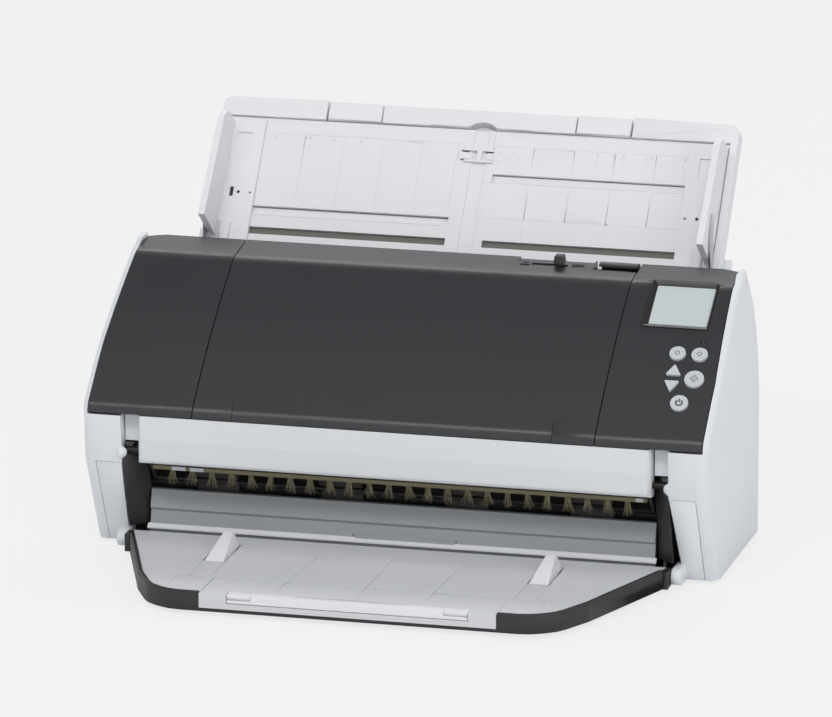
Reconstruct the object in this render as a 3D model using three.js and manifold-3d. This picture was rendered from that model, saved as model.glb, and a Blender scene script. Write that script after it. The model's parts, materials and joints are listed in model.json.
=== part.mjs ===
import * as THREE from 'three';
import { ConvexGeometry } from 'three/addons/geometries/ConvexGeometry.js';
import { mergeVertices } from 'three/addons/utils/BufferGeometryUtils.js';
import Module from 'manifold-3d';

const wasm = await Module();
wasm.setup();

// A desktop sheet-fed document scanner: fixed housing, forward-opening feed cover with its control
// panel, lift-off input tray with two coupled side guides, and a fold-up output stacker.
// Millimetres, +Z up, +X to the right seen from the front. In the numbers below y is zero at the
// front lip of the feed cover and z is zero on the desk.

// General fits and walls
const fit = 0.3;
const runningFit = 0.5;
const wall = 2.5;
const overrun = 1;
const weldDistance = 1e-4;
const arcStep = 0.3;
const roundSides = 16;
const lipSteps = 6;
const footHeight = 2;

// Housing, seen from the side (y, z) and from the front (x, z)
const bodyHalfWidth = 190;
const bodyTopLean = 3.5;
const bodyTopHalfWidth = bodyHalfWidth - bodyTopLean;
const leanStart = 121.5;
const bodyTop = 169;
const bodyTopFront = 106;
const bodyTopRear = 120.5;
const bodyRear = 146;
const rearBendHeight = 90;
const rearShoulderY = 135;
const rearShoulderZ = 145;
const pillarFootY = 31;
const pillarKneeY = 2.5;
const pillarKneeZ = 58;
const pillarTopZ = 86.8;
const pillarWidth = 24;
const pillarInner = bodyHalfWidth - pillarWidth;
const pillarSplay = 3.6;
const pillarInnerFoot = pillarInner + pillarSplay;
const pillarDepth = 34;
const edgeRadius = 7;
const bulgeRear = 176;
const bulgeFootZ = 48;
const bulgeHeelZ = 28;
const basePlate = 3;

// Feed cover, seen from the side
const coverReveal = 4;
const coverHalfWidth = bodyHalfWidth - coverReveal;
const coverTopHalfWidth = coverHalfWidth - bodyTopLean;
const endCoverWidth = 64;
const coverSeam = coverHalfWidth - endCoverWidth;
const coverLipZ = 88.4;
const coverNoseY = 5.5;
const coverNoseZ = 97.5;
const coverCrown = 3;
const coverBrowY = 95;
const coverBrowZ = 164;
const coverBrowRadius = 22;
const coverRearY = 124;
const coverRearZ = 167.5;
const coverRearDrop = 8;
const coverCornerInset = 5;
const coverCornerRun = 16;
const coverWall = 2.5;
const swingDrop = 4.5;
const swingRelief = 1.8;
const seamGap = 0.6;
const coverPivotY = 7;
const coverPivotZ = 65;
const coverPinRadius = 2;

// White front panel under the cover lip
const panelReveal = 10.4;
const panelHalfWidth = pillarInner - panelReveal;
const panelTopZ = coverLipZ - fit * 2;
const panelBottomZ = 58.8;
const panelBulge = 0.8;
const panelLipRadius = 3.5;
const panelLipDepth = 9;
const panelWall = 2.2;

// Paper path, upper face of the lower guide
const pathTopY = 155;
const pathTopZ = 147.4;
const pathBendY = 112;
const pathBendZ = 92;
const pathScanY = 60;
const pathScanZ = 60;
const pathExitY = 28;
const pathExitZ = 41;
const pathInset = 13;
const pathHalfWidth = pillarInner - pathInset;
const pathGap = 1.4;
const mouthRise = 24;
const guideWall = 2;

// Exit bay and its side risers
const wallTopY = 25;
const wallTopZ = 36.8;
const wallStepY = 21.5;
const wallStepZ = 26;
const wallFootY = 20;
const wallFootZ = 12;
const wallHalfWidth = pathHalfWidth + overrun;
const stepDepth = 1.6;
const riserTopZ = 62;
const riserMidZ = 36;
const riserFootZ = 15;
const riserInnerTopY = 16;
const riserInnerMidY = 26;
const riserOuterFootY = 17.5;
const riserThick = 2.4;

// Output stacker, folding up about its pins
const stackerPivotY = 15;
const stackerPivotZ = 8;
const stackerReach = 104;
const stackerBottomZ = 2.5;
const stackerTopZ = 13;
const stackerFloorZ = 13.5;
const stackerFloorThick = 2.5;
const stackerRearHalf = pillarInner - fit * 2;
const stackerRim = 3;
const stackerPinRadius = 2.5;
const lugRadius = 4.8;
const stackerRearY = 14;
const stackerCorner = 24;
const stackerShares = [[0.82, 0.71], [0.745, 0.92], [0.65, 1]];
const lipHalfShare = 0.538;
const lipHalfWidth = stackerRearHalf * lipHalfShare;
const tongueInset = 19;
const tongueHalf = lipHalfWidth - tongueInset;
const lipReach = 1.2;
const stopperThick = 5;
const wedgeCrest = 3;
const extensionHalfWidth = lipHalfWidth - fit;
const extensionRearY = -72;
const stopperInset = 17;
const stopperHalfWidth = lipHalfWidth - stopperInset;
const stopperDepth = 7;
const wedgeOffset = 9;
const wedgeCentre = lipHalfWidth + wedgeOffset;
const wedgeWidth = 12;
const wedgeFrontY = -38;
const wedgeLength = 34;
const wedgeRise = 9;
const wedgeSwing = 1;

// Input tray, in its own frame: x across, y up its slope, z off its face
const traySlope = 52.7;
const trayFootY = 163;
const trayFootZ = 158;
const trayOverhang = 8;
const trayHalfWidth = pathHalfWidth + trayOverhang;
const trayTop = 94;
const trayBottom = -12;
const trayBack = -9;
const trayRim = 2;
const trayBorder = 13;
const traySideBorder = 4.5;
const trayPlateThick = 2;
const trayCornerRadius = 5;
const rackTop = -2.4;
const rackBottom = -4.4;
const drawerTop = -4.8;
const drawerBottom = -7.2;
const guideInset = 5;
const guideWidth = 23.5;
const guideOuter = trayHalfWidth - guideInset;
const guideInner = guideOuter - guideWidth;
const tabInset = 38.1;
const tabOuter = guideInner - tabInset;
const tabWidth = 33.9;
const tabInner = tabOuter - tabWidth;
const guideTop = 79;
const guideBase = 1.7;
const guideFinThick = 4;
const guideFinTop = 76;
const guideFinLow = 34;
const guideFinHigh = 27;
const rackWidth = 4;
const rackLowY = 20;
const rackHighY = 50;
const pinionPinRadius = 3;
const pinionFit = 0.1;
const pinSeatShare = 0.8;
const slotInner = 13;
const slotReach = 5;
const slotOuter = guideInner + slotReach;
const guideFoot = 4;
const slotInnerLeft = 10;
const rackReach = 8;
const slotWidth = 4.6;
const channelCentre = 3;
const channelWidth = 9;

const hookInset = 45;
const hookWidth = 20;
const hookOuter = trayHalfWidth - hookInset;
const hookInner = hookOuter - hookWidth;
const hookLength = 10;
const hookBack = 2;
const hookFront = 5;
const hookFit = 0.4;

const lowerSlotDrop = 14;
const clipRun = 59;
const clipWidth = 18;
const clipHeight = 9;
const clipBar = 1.6;
const clipRise = 1.4;
const drawerBar = 14;
const notchRadius = 12;
const notchOffset = 8;

// Control panel, in the frame of the cover's slope: s runs up the slope from its nose
const displayInset = 12.7;
const displayLeft = coverSeam + displayInset;
const displayWidth = 40.5;
const displayLow = 75.8;
const displayHeight = 39;
const displayDepth = 1.5;
const buttonRise = 1.2;
const buttonClearance = 0.35;
const buttonStem = 3;

// Rollers, shafts and drive
const shaftRadius = 3;
const rollerRadius = 9;
const pickRollerRadius = 11;
const rollerWidth = 26;
const rollerInset = 39;
const rollerShares = [-1, -1 / 3, 1 / 3, 1];
const chassisInset = 9;
const chassisX = pillarInner - chassisInset;
const chassisThick = 1.5;
const chassisFront = 30;

// Anti-static brush under the panel
const brushInset = 6;
const brushLeft = brushInset - pathHalfWidth;
const brushRight = pathHalfWidth;
const brushDepth = 3;
const tuftCount = 24;
const tuftPitch = (brushRight - brushLeft) / (tuftCount + 1);
const strandsPerTuft = 14;
const strandLength = 9;
const strandWidth = 0.32;

const brushY = 4.6;
const brushZ = 55;
const brushHeight = panelBottomZ - overrun - brushZ;
const strandColumns = 7;
const strandSpacing = 0.75;
const strandFan = 1.1;
const strandVariation = 0.35;
const ferruleDrop = 0.8;

// Control layout on the panel: x from the cover's seam, and s
const lampX = 52;
const lampS = 67;
const lampRadius = 1.2;
const roundButtons = [
  ['menu_button', 38.6, 56.6, 4.9],
  ['stop_button', 51.8, 56.6, 4.9],
  ['scan_button', 51.8, 38.4, 5.9],
  ['power_button', 45.9, 20.7, 5.4],
];
const arrowButtons = [
  ['up_button', 38.8, 44.4, 1],
  ['down_button', 38.8, 32.2, -1],
];
const arrowWidth = 9.4;
const arrowHeight = 8;

// Controls on top of the cover
const knobSlotInset = 65;
const knobSlotLeft = coverSeam - knobSlotInset;
const knobSlotWidth = 22;
const knobSlotDepth = 4;
const topSlotY = 112;
const knobEndInset = 5;
const knobWidth = 7;
const knobDepth = 8;
const knobRise = 5;
const knobStem = 2.6;
const tabRun = 27;
const tabLeft = coverSeam - tabRun;
const tabDepth = 14;
const tabThick = 3;

// Paper path details
const earRadius = 4.6;
const glassStart = 17;
const glassWidth = 14;
const glassInset = 3;
const glassHalfWidth = pathHalfWidth - glassInset;
const rollerRise = 0.6;
const upperRadius = 7;
const pickRun = 40;
const feedRun = 24;
const ejectRun = 7;

// Drive and electrics
const pulleyWidth = 5;
const pulleyRadius = 8;
const beltThick = 1.2;
const motorY = 108;
const motorZ = 36;
const motorRadius = 18;
const motorLength = 40;
const motorBoss = 9;
const motorPulley = 6;
const boardHalf = 70;
const boardRear = 128;
const boardDepth = 60;
const boardStand = 6;
const boardThick = 1.6;
const socketZ = 12;
const socketDepth = 12;
const powerInset = 37;
const dataInset = 65;
const sockets = [
  ['power_inlet', chassisX - powerInset, 16, 14],
  ['data_socket', chassisX - dataInset, 13, 12],
];
const footRadius = 7;
const footInset = 20;
const riserHeadZ = 76;
const riserHeadDrop = 0.5;

// Helpers

function solid(geometry) {
  const plain = geometry.clone();
  plain.deleteAttribute('normal');
  plain.deleteAttribute('uv');
  const merged = mergeVertices(plain, weldDistance);
  const vertProperties = new Float32Array(merged.attributes.position.array);
  const triVerts = new Uint32Array(merged.index.array);
  return new wasm.Manifold(new wasm.Mesh({ numProp: 3, vertProperties, triVerts }));
}

function geometryOf(body) {
  const mesh = body.getMesh();
  const geometry = new THREE.BufferGeometry();
  const positions = new Float32Array(mesh.vertProperties);
  geometry.setAttribute('position', new THREE.BufferAttribute(positions, mesh.numProp));
  geometry.setIndex(new THREE.BufferAttribute(new Uint32Array(mesh.triVerts), 1));
  geometry.computeVertexNormals();
  return geometry;
}

// A path of [a, b, radius] points whose corners become arcs.
function roundPath(points, closed = true) {
  const result = [];
  points.forEach(([a, b, radius = 0], index) => {
    const open = !closed && (index === 0 || index === points.length - 1);
    if (!radius || open) {
      result.push(new THREE.Vector2(a, b));
      return;
    }
    const corner = new THREE.Vector2(a, b);
    const before = points[(index + points.length - 1) % points.length];
    const after = points[(index + 1) % points.length];
    const back = new THREE.Vector2(before[0], before[1]).sub(corner);
    const ahead = new THREE.Vector2(after[0], after[1]).sub(corner);
    const room = Math.min(back.length(), ahead.length()) / 2;
    back.normalize();
    ahead.normalize();
    const halfAngle = Math.acos(THREE.MathUtils.clamp(back.dot(ahead), -1, 1)) / 2;
    const reach = Math.min(radius / Math.tan(halfAngle), room);
    const arcRadius = reach * Math.tan(halfAngle);
    const start = corner.clone().addScaledVector(back, reach);
    const middle = back.clone().add(ahead).normalize();
    const centre = corner.clone().addScaledVector(middle, arcRadius / Math.sin(halfAngle));
    const from = Math.atan2(start.y - centre.y, start.x - centre.x);
    const end = corner.clone().addScaledVector(ahead, reach);
    let sweep = Math.atan2(end.y - centre.y, end.x - centre.x) - from;
    if (sweep > Math.PI) sweep -= 2 * Math.PI;
    if (sweep < -Math.PI) sweep += 2 * Math.PI;
    const steps = Math.max(2, Math.round(Math.abs(sweep) / arcStep));
    for (let step = 0; step <= steps; step += 1) {
      const angle = from + (sweep * step) / steps;
      const spoke = new THREE.Vector2(Math.cos(angle), Math.sin(angle));
      result.push(spoke.multiplyScalar(arcRadius).add(centre));
    }
  });
  return result;
}

// An open line moved sideways; a positive distance moves it to the right.
function offsetLine(points, distance) {
  return points.map((point, index) => {
    const before = points[Math.max(index - 1, 0)];
    const after = points[Math.min(index + 1, points.length - 1)];
    const first = point.clone().sub(before);
    const second = after.clone().sub(point);
    if (index === 0) first.copy(second);
    if (index === points.length - 1) second.copy(first);
    first.normalize();
    second.normalize();
    const normal = new THREE.Vector2(first.y + second.y, -first.x - second.x).normalize();
    const stretch = Math.max(normal.dot(new THREE.Vector2(first.y, -first.x)), 0.5);
    return point.clone().addScaledVector(normal, distance / stretch);
  });
}

// The closed outline between an open line and its moved copy.
function strip(points, distance) {
  return [...points, ...offsetLine(points, distance).reverse()];
}

function extrude(outline, depth) {
  const points = outline.map((point) => (point.isVector2 ? point : new THREE.Vector2(point[0], point[1])));
  if (THREE.ShapeUtils.area(points) < 0) points.reverse();
  return new THREE.ExtrudeGeometry(new THREE.Shape(points), { depth, bevelEnabled: false });
}

// Prisms along each axis, from an outline in the other two.
function prismX(outline, x0, x1) {
  const turn = new THREE.Matrix4().set(0, 0, 1, x0, 1, 0, 0, 0, 0, 1, 0, 0, 0, 0, 0, 1);
  return solid(extrude(outline, x1 - x0).applyMatrix4(turn));
}

function prismY(outline, y0, y1) {
  const turn = new THREE.Matrix4().set(1, 0, 0, 0, 0, 0, -1, y1, 0, 1, 0, 0, 0, 0, 0, 1);
  return solid(extrude(outline, y1 - y0).applyMatrix4(turn));
}

function prismZ(outline, z0, z1) {
  return solid(extrude(outline, z1 - z0).translate(0, 0, z0));
}

function rectangle(a0, a1, b0, b1, radius = 0) {
  return roundPath([[a0, b0, radius], [a1, b0, radius], [a1, b1, radius], [a0, b1, radius]]);
}

function block(x0, x1, y0, y1, z0, z1) {
  return prismZ(rectangle(x0, x1, y0, y1), z0, z1);
}

function circle(a, b, radius, sides = roundSides) {
  return Array.from({ length: sides }, (unused, side) => {
    const angle = (2 * Math.PI * side) / sides;
    return new THREE.Vector2(a + radius * Math.cos(angle), b + radius * Math.sin(angle));
  });
}

function rodX(y, z, radius, x0, x1, sides = roundSides) {
  return prismX(circle(y, z, radius, sides), x0, x1);
}

// A closed skin over a row of sections that all have the same number of points.
function loft(sections) {
  const count = sections[0].length;
  const positions = sections.flat().flatMap((point) => [point.x, point.y, point.z]);
  const index = [];
  for (let row = 0; row + 1 < sections.length; row += 1) {
    for (let side = 0; side < count; side += 1) {
      const next = (side + 1) % count;
      const a = row * count + side;
      const b = row * count + next;
      index.push(a, b, b + count, a, b + count, a + count);
    }
  }
  for (let side = 1; side + 1 < count; side += 1) {
    const last = (sections.length - 1) * count;
    index.push(0, side + 1, side);
    index.push(last, last + side, last + side + 1);
  }
  const geometry = new THREE.BufferGeometry();
  geometry.setAttribute('position', new THREE.Float32BufferAttribute(positions, 3));
  geometry.setIndex(index);
  return solid(geometry);
}

// Materials and the scene graph

const scanner = new THREE.Group();
const finishes = {
  whiteShell: { color: 0xe4e7ec, roughness: 0.45, metalness: 0 },
  paleTray: { color: 0xdfe2e8, roughness: 0.5, metalness: 0 },
  blackShell: { color: 0x3b3c40, roughness: 0.38, metalness: 0 },
  blackFrame: { color: 0x2c2b2b, roughness: 0.5, metalness: 0 },
  darkGuide: { color: 0x26241f, roughness: 0.55, metalness: 0 },
  steel: { color: 0x9fa3a8, roughness: 0.35, metalness: 0.9 },
  rubber: { color: 0x2a2c2e, roughness: 0.9, metalness: 0 },
  gearPlastic: { color: 0xcfcdc4, roughness: 0.6, metalness: 0 },
  buttonGrey: { color: 0xc6cbd2, roughness: 0.4, metalness: 0 },
  screen: { color: 0xb9c4bf, roughness: 0.15, metalness: 0 },
  glass: { color: 0xa9b4b6, roughness: 0.05, metalness: 0 },
  lamp: { color: 0x35352f, roughness: 0.3, metalness: 0 },
  bristle: { color: 0x8f8569, roughness: 0.8, metalness: 0 },
  board: { color: 0x2f5d3a, roughness: 0.6, metalness: 0 },
};

function place(name, body, finish, parent = scanner) {
  const mesh = new THREE.Mesh(geometryOf(body), new THREE.MeshStandardMaterial(finishes[finish]));
  mesh.name = name;
  parent.add(mesh);
}

const sides = [['left', -1], ['right', 1]];

function mirrorX(points, side) {
  return points.map((point) => new THREE.Vector2(side * point.x, point.y));
}

function spanX(side, near, far) {
  return side > 0 ? [near, far] : [-far, -near];
}

// Section lines that several pieces share

const coverSlope = Math.atan2(coverBrowZ - coverNoseZ, coverBrowY - coverNoseY);
const coverRun = Math.hypot(coverBrowZ - coverNoseZ, coverBrowY - coverNoseY);

// A place on the crowned top of the cover, at a distance up the slope from its nose.
function coverPlace(run) {
  const share = THREE.MathUtils.clamp(run / coverRun, 0, 1);
  const rise = coverCrown * 4 * share * (1 - share);
  return {
    y: coverNoseY + run * Math.cos(coverSlope) - rise * Math.sin(coverSlope),
    z: coverNoseZ + run * Math.sin(coverSlope) + rise * Math.cos(coverSlope),
    angle: coverSlope + Math.atan(coverCrown * 4 * (1 - 2 * share) / coverRun),
  };
}

const crownShares = [0.2, 0.4, 0.6, 0.8];
const noseAngle = coverPlace(0).angle;
const lipTurn = Math.PI / 2 - noseAngle;
const lipRadius = (coverNoseZ - coverNoseY * Math.tan(noseAngle) - coverLipZ) / Math.tan(lipTurn / 2);
// The lip's round front, from its lower edge up to where the cover's slope takes over.
const lipArc = Array.from({ length: lipSteps + 1 }, (_, step) => {
  const turn = lipTurn * step / lipSteps;
  return [lipRadius * (1 - Math.cos(turn)), coverLipZ + lipRadius * Math.sin(turn)];
});
const coverLine = roundPath([
  ...lipArc,
  ...crownShares.map((share) => coverPlace(share * coverRun)).map(({ y, z }) => [y, z]),
  [coverBrowY, coverBrowZ, coverBrowRadius],
  [coverRearY, coverRearZ],
], false);
const guideLine = [
  [pathTopY, pathTopZ], [pathBendY, pathBendZ], [pathScanY, pathScanZ], [pathExitY, pathExitZ],
].map(([y, z]) => new THREE.Vector2(y, z));
// Roller centres lie under or over a place on the paper path.
function rollerCentre(run, radius, over) {
  const [lower, upper] = run > scanRunLength() ? [guideLine[2], guideLine[1]] : [guideLine[3], guideLine[2]];
  const ahead = upper.clone().sub(lower).normalize();
  const start = run > scanRunLength() ? run - scanRunLength() : run;
  const lift = over ? radius + rollerRise + fit : rollerRise - radius;
  return [lower.x + ahead.x * start - ahead.y * lift, lower.y + ahead.y * start + ahead.x * lift];
}

function scanRunLength() {
  return guideLine[3].distanceTo(guideLine[2]);
}

const rollerColumns = rollerShares.map((share) => share * (pathHalfWidth - rollerInset));
const rollerPlaces = [
  ['pick', ...rollerCentre(scanRunLength() + pickRun, pickRollerRadius), pickRollerRadius],
  ['feed', ...rollerCentre(scanRunLength() + feedRun - rollerRadius, rollerRadius), rollerRadius],
  ['eject', ...rollerCentre(ejectRun, rollerRadius), rollerRadius],
];
const brakeColumns = rollerColumns.slice(1, 3);
const upperRollers = [
  ['brake_shaft', ...rollerCentre(scanRunLength() + pickRun, upperRadius, true), upperRadius, brakeColumns],
  ['pinch_shaft', ...rollerCentre(ejectRun, upperRadius, true), upperRadius, rollerColumns],
];
const traySlopeAngle = THREE.MathUtils.degToRad(traySlope);

function trayPoint(s, n) {
  return [
    trayFootY + s * Math.cos(traySlopeAngle) - n * Math.sin(traySlopeAngle),
    trayFootZ + s * Math.sin(traySlopeAngle) + n * Math.cos(traySlopeAngle),
  ];
}

function leanAt(z, foot, top) {
  return foot + (top - foot) * Math.max(0, z - leanStart) / (bodyTop - leanStart);
}

// Housing: side covers with their front pillars

const frontLevels = [
  [footHeight, pillarFootY], [pillarKneeZ, pillarKneeY], [pillarTopZ, 0], [coverLipZ, 0],
];

function sideFrontLine() {
  const rising = coverLine.slice(1).filter((point) => point.x < bodyTopFront);
  return [
    ...frontLevels.map(([z, y]) => new THREE.Vector2(y, z)),
    ...rising,
    new THREE.Vector2(bodyTopFront, bodyTop),
  ];
}

function rearAt(z) {
  if (z <= rearBendHeight) return bodyRear;
  if (z <= rearShoulderZ) {
    const share = (z - rearBendHeight) / (rearShoulderZ - rearBendHeight);
    return bodyRear + share * (rearShoulderY - bodyRear);
  }
  const share = (z - rearShoulderZ) / (bodyTop - rearShoulderZ);
  return rearShoulderY + share * (bodyTopRear - rearShoulderY);
}

function housingSection(side, y, z, inset, innerX) {
  const outer = leanAt(z, bodyHalfWidth, bodyTopHalfWidth) - inset;
  const radius = Math.max(edgeRadius - inset, overrun);
  const front = y + inset;
  const back = Math.max(rearAt(z) - inset, front + 2 * radius);
  const outline = roundPath([
    [innerX, front], [outer, front, radius], [outer, back, radius / 2], [innerX, back],
  ]);
  const points = outline.map((point) => new THREE.Vector3(side * point.x, point.y, z));
  return side > 0 ? points : points.reverse();
}

function housingHull(side, inset, innerX) {
  const extra = [rearBendHeight, rearShoulderZ].map((z) => new THREE.Vector2(frontAt(z), z));
  const levels = sideFrontLine().concat(extra).sort((a, b) => a.y - b.y);
  if (inset) {
    levels[0].y -= overrun;
    levels[levels.length - 1].y -= inset;
  }
  return loft(levels.map((point) => housingSection(side, point.x, point.y, inset, innerX)));
}

function frontAt(z) {
  const line = sideFrontLine();
  for (let index = 0; index + 1 < line.length; index += 1) {
    const [a, b] = [line[index], line[index + 1]];
    if (z >= a.y && z <= b.y) return a.x + (b.x - a.x) * (z - a.y) / (b.y - a.y);
  }
  return line[line.length - 1].x;
}

function sideBlock(side, near, far, y0, y1, z0, z1) {
  const [x0, x1] = spanX(side, near, far);
  return block(x0, x1, y0, y1, z0, z1);
}

function coverEnvelope(gap, low) {
  const width = coverHalfWidth + gap;
  const topWidth = coverTopHalfWidth + gap;
  const lean = leanAt(low, width, topWidth);
  const top = bodyTop + wall;
  const topLean = width + (topWidth - width) * (top - leanStart) / (bodyTop - leanStart);
  const outline = [
    [-lean, low], [lean, low], [width, leanStart], [topLean, top], [-topLean, top], [-width, leanStart],
  ];
  return prismY(outline, -bodyRear, coverRearY + fit);
}

function buildSideCover(name, side) {
  const lowerEdge = bodyHalfWidth - edgeRadius - overrun;
  let body = housingHull(side, 0, pillarInner);
  body = body.subtract(housingHull(side, wall, pillarInner + wall));
  body = body.subtract(sideBlock(side, pillarInner - overrun, pillarInner + wall + overrun,
    pillarDepth, coverRearY + fit, 0, bodyTop + overrun));
  body = body.subtract(sideBlock(side, pillarInner - overrun, pillarInner + wall + overrun,
    coverRearY, bodyRear - wall, 0, rearBendHeight));
  body = body.subtract(coverEnvelope(runningFit, pillarTopZ + fit));
  body = body.subtract(sideBlock(side, pillarInner - overrun, lowerEdge + fit,
    -overrun, pillarDepth, 0, pillarKneeZ));
  body = body.subtract(rodX(coverPivotY, coverPivotZ, coverPinRadius + fit,
    ...spanX(side, pillarInner - overrun, pillarInner + wall + overrun)));
  place(name, body, 'whiteShell');
}

function buildLowerPillar(name, side) {
  const outer = bodyHalfWidth - edgeRadius - overrun;
  const innerLean = prismY(mirrorX([
    new THREE.Vector2(pillarInner - wall, pillarKneeZ), new THREE.Vector2(pillarInner + fit, pillarKneeZ),
    new THREE.Vector2(pillarInnerFoot, 0), new THREE.Vector2(pillarInner - wall, 0),
  ], side), -bodyRear, bodyRear);
  const room = sideBlock(side, pillarInner, outer, -overrun, pillarDepth - fit, 0, pillarKneeZ - fit);
  let body = housingHull(side, 0, pillarInner).intersect(room);
  const hollow = housingHull(side, wall, pillarInner).intersect(sideBlock(side,
    pillarInnerFoot + wall, outer - wall, -overrun, pillarDepth, 0, pillarKneeZ - wall));
  body = body.subtract(innerLean).subtract(hollow);
  const [lugLow, lugHigh] = [stackerPivotZ - lugRadius, stackerPivotZ + lugRadius];
  const lugFront = stackerPivotY - lugRadius;
  const lug = [
    [pillarDepth - wall, lugLow], [lugFront, lugLow, lugRadius],
    [lugFront, lugHigh, lugRadius], [pillarDepth - wall, lugHigh],
  ];
  body = body.add(prismX(roundPath(lug), ...spanX(side, pillarInner, pillarInnerFoot + wall - fit)));
  body = body.subtract(rodX(stackerPivotY, stackerPivotZ, stackerPinRadius + fit,
    ...spanX(side, pillarInner - overrun, pillarInnerFoot + overrun + fit)));
  place(name, body, 'whiteShell');
}

function socketMouth([x, width, height], rear0, rear1) {
  const half = width / 2 - overrun;
  return block(x - half, x + half, rear0, rear1, socketZ + overrun, socketZ + height - overrun);
}

function buildRearCover() {
  const half = pillarInner - fit;
  const seat = trayPoint(trayBottom - fit, trayBack - fit);
  const topEdge = seat[1] + (bulgeRear - seat[0]) * Math.tan(traySlopeAngle);
  const line = roundPath([
    [bodyRear, footHeight], [bodyRear, bulgeHeelZ, wall], [bulgeRear, bulgeFootZ, edgeRadius],
    [bulgeRear, topEdge], seat,
  ], false);
  const innerY = bodyRear - wall;
  const closing = [
    new THREE.Vector2(innerY, seat[1] - (seat[0] - innerY) * Math.tan(traySlopeAngle)),
    new THREE.Vector2(innerY, footHeight),
  ];
  let body = prismX(strip(line, -wall), -half, half);
  for (const side of [-1, 1]) {
    body = body.add(prismX([...line, ...closing], ...spanX(side, half - wall, half)));
    const [x0, x1] = spanX(side, hookInner - hookFit, hookOuter + hookFit);
    const slot = [
      trayPoint(trayBottom + overrun, trayBack + hookBack - hookFit),
      trayPoint(trayBottom + overrun, trayBack + hookFront + hookFit),
      trayPoint(trayBottom - hookLength - overrun, trayBack + hookFront + hookFit),
      trayPoint(trayBottom - hookLength - overrun, trayBack + hookBack - hookFit),
    ];
    body = body.subtract(prismX(slot, x0, x1));
  }
  for (const [, ...size] of sockets) {
    body = body.subtract(socketMouth(size, innerY - overrun, bodyRear + overrun));
  }
  place('rear_cover', body, 'whiteShell');
}

function buildBasePan() {
  const half = bodyHalfWidth - wall - overrun * 2;
  const front = pillarDepth + overrun * 2;
  let body = block(-half, half, front, bodyRear - wall - fit, footHeight, footHeight + basePlate);
  body = body.add(block(-pathHalfWidth, pathHalfWidth, wallFootY + wall + runningFit, front + overrun,
    footHeight, footHeight + basePlate));
  body = body.subtract(block(-half, -half + edgeRadius, bodyRear - edgeRadius, bodyRear, 0, pillarKneeZ));
  body = body.subtract(block(half - edgeRadius, half, bodyRear - edgeRadius, bodyRear, 0, pillarKneeZ));
  place('base_pan', body, 'darkGuide');
}

function buildFeet() {
  const places = [
    ['front_left', -1, pillarDepth + footRadius * 2], ['front_right', 1, pillarDepth + footRadius * 2],
    ['rear_left', -1, bodyRear - footRadius * 2], ['rear_right', 1, bodyRear - footRadius * 2],
  ];
  for (const [name, side, y] of places) {
    const x = side * (bodyHalfWidth - footInset);
    place(`${name}_foot`, prismZ(circle(x, y, footRadius), 0, footHeight - fit), 'rubber');
  }
}

function buildExitWall() {
  const line = roundPath([
    [wallTopY + wall, wallTopZ + fit], [wallTopY, wallTopZ], [wallStepY, wallStepZ],
    [wallStepY + stepDepth, wallStepZ - stepDepth], [wallFootY, wallFootZ], [wallFootY, footHeight],
  ], false);
  place('exit_wall', prismX(strip(line, -wall), -wallHalfWidth, wallHalfWidth), 'whiteShell');
}

// One edge of a riser: four corners at one height.
function riserSection(side, z, outerY, innerY) {
  const outer = pillarInner - fit;
  const inner = wallHalfWidth + fit;
  return [
    [outer, outerY], [outer, outerY + riserThick], [inner, innerY + riserThick], [inner, innerY],
  ].map(([x, y]) => new THREE.Vector3(side * x, y, z));
}

function buildRiser(name, side) {
  const slope = (riserOuterFootY - pillarKneeY) / (riserTopZ - riserFootZ);
  const sections = [
    [riserFootZ, riserOuterFootY, riserInnerMidY],
    [riserMidZ, riserOuterFootY - slope * (riserMidZ - riserFootZ), riserInnerMidY],
    [riserTopZ - riserHeadDrop, pillarKneeY, riserInnerTopY],
    [riserHeadZ, riserInnerTopY, riserInnerTopY + overrun],
  ].map(([z, outerY, innerY]) => riserSection(side, z, outerY, innerY));
  const between = (section, row) => solid(new ConvexGeometry([...sections[row], ...section]));
  const body = sections.slice(1).map(between).reduce((whole, length) => whole.add(length));
  const pinRoom = rodX(coverPivotY, coverPivotZ, coverPinRadius + fit, -bodyHalfWidth, bodyHalfWidth);
  place(name, body.subtract(pinRoom), 'blackFrame');
}

function buildLowerGuide() {
  const half = pathHalfWidth + riserThick;
  let body = prismX(strip(guideLine.slice().reverse(), guideWall), -half, half);
  for (const [y, z] of rollerPlaces.map((roller) => [roller[1], roller[2]])) {
    for (const x of rollerColumns) {
      const reach = rollerWidth / 2 + overrun;
      body = body.subtract(rodX(y, z, pickRollerRadius + overrun, x - reach, x + reach));
    }
  }
  const [glassLow, glassHigh] = glassSpan();
  body = body.subtract(prismX(guideSlab(glassLow - fit, glassHigh + fit, -guideWall - overrun, overrun),
    -glassHalfWidth - fit, glassHalfWidth + fit));
  place('lower_guide', body, 'darkGuide');
}

// A slab along the lower straight run of the paper path, from its exit end.
function guideSlab(from, to, low, high) {
  const angle = Math.atan2(pathScanZ - pathExitZ, pathScanY - pathExitY);
  const at = (s, n) => [
    pathExitY + s * Math.cos(angle) - n * Math.sin(angle),
    pathExitZ + s * Math.sin(angle) + n * Math.cos(angle),
  ];
  return [at(from, low), at(to, low), at(to, high), at(from, high)];
}

function glassSpan() {
  return [glassStart, glassStart + glassWidth];
}

function buildGlasses() {
  const [low, high] = glassSpan();
  place('lower_glass', prismX(guideSlab(low, high, -guideWall, 0), -glassHalfWidth, glassHalfWidth), 'glass');
  place('upper_glass', prismX(guideSlab(low, high, pathGap, pathGap + guideWall),
    -glassHalfWidth, glassHalfWidth), 'glass', cover);
}

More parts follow.
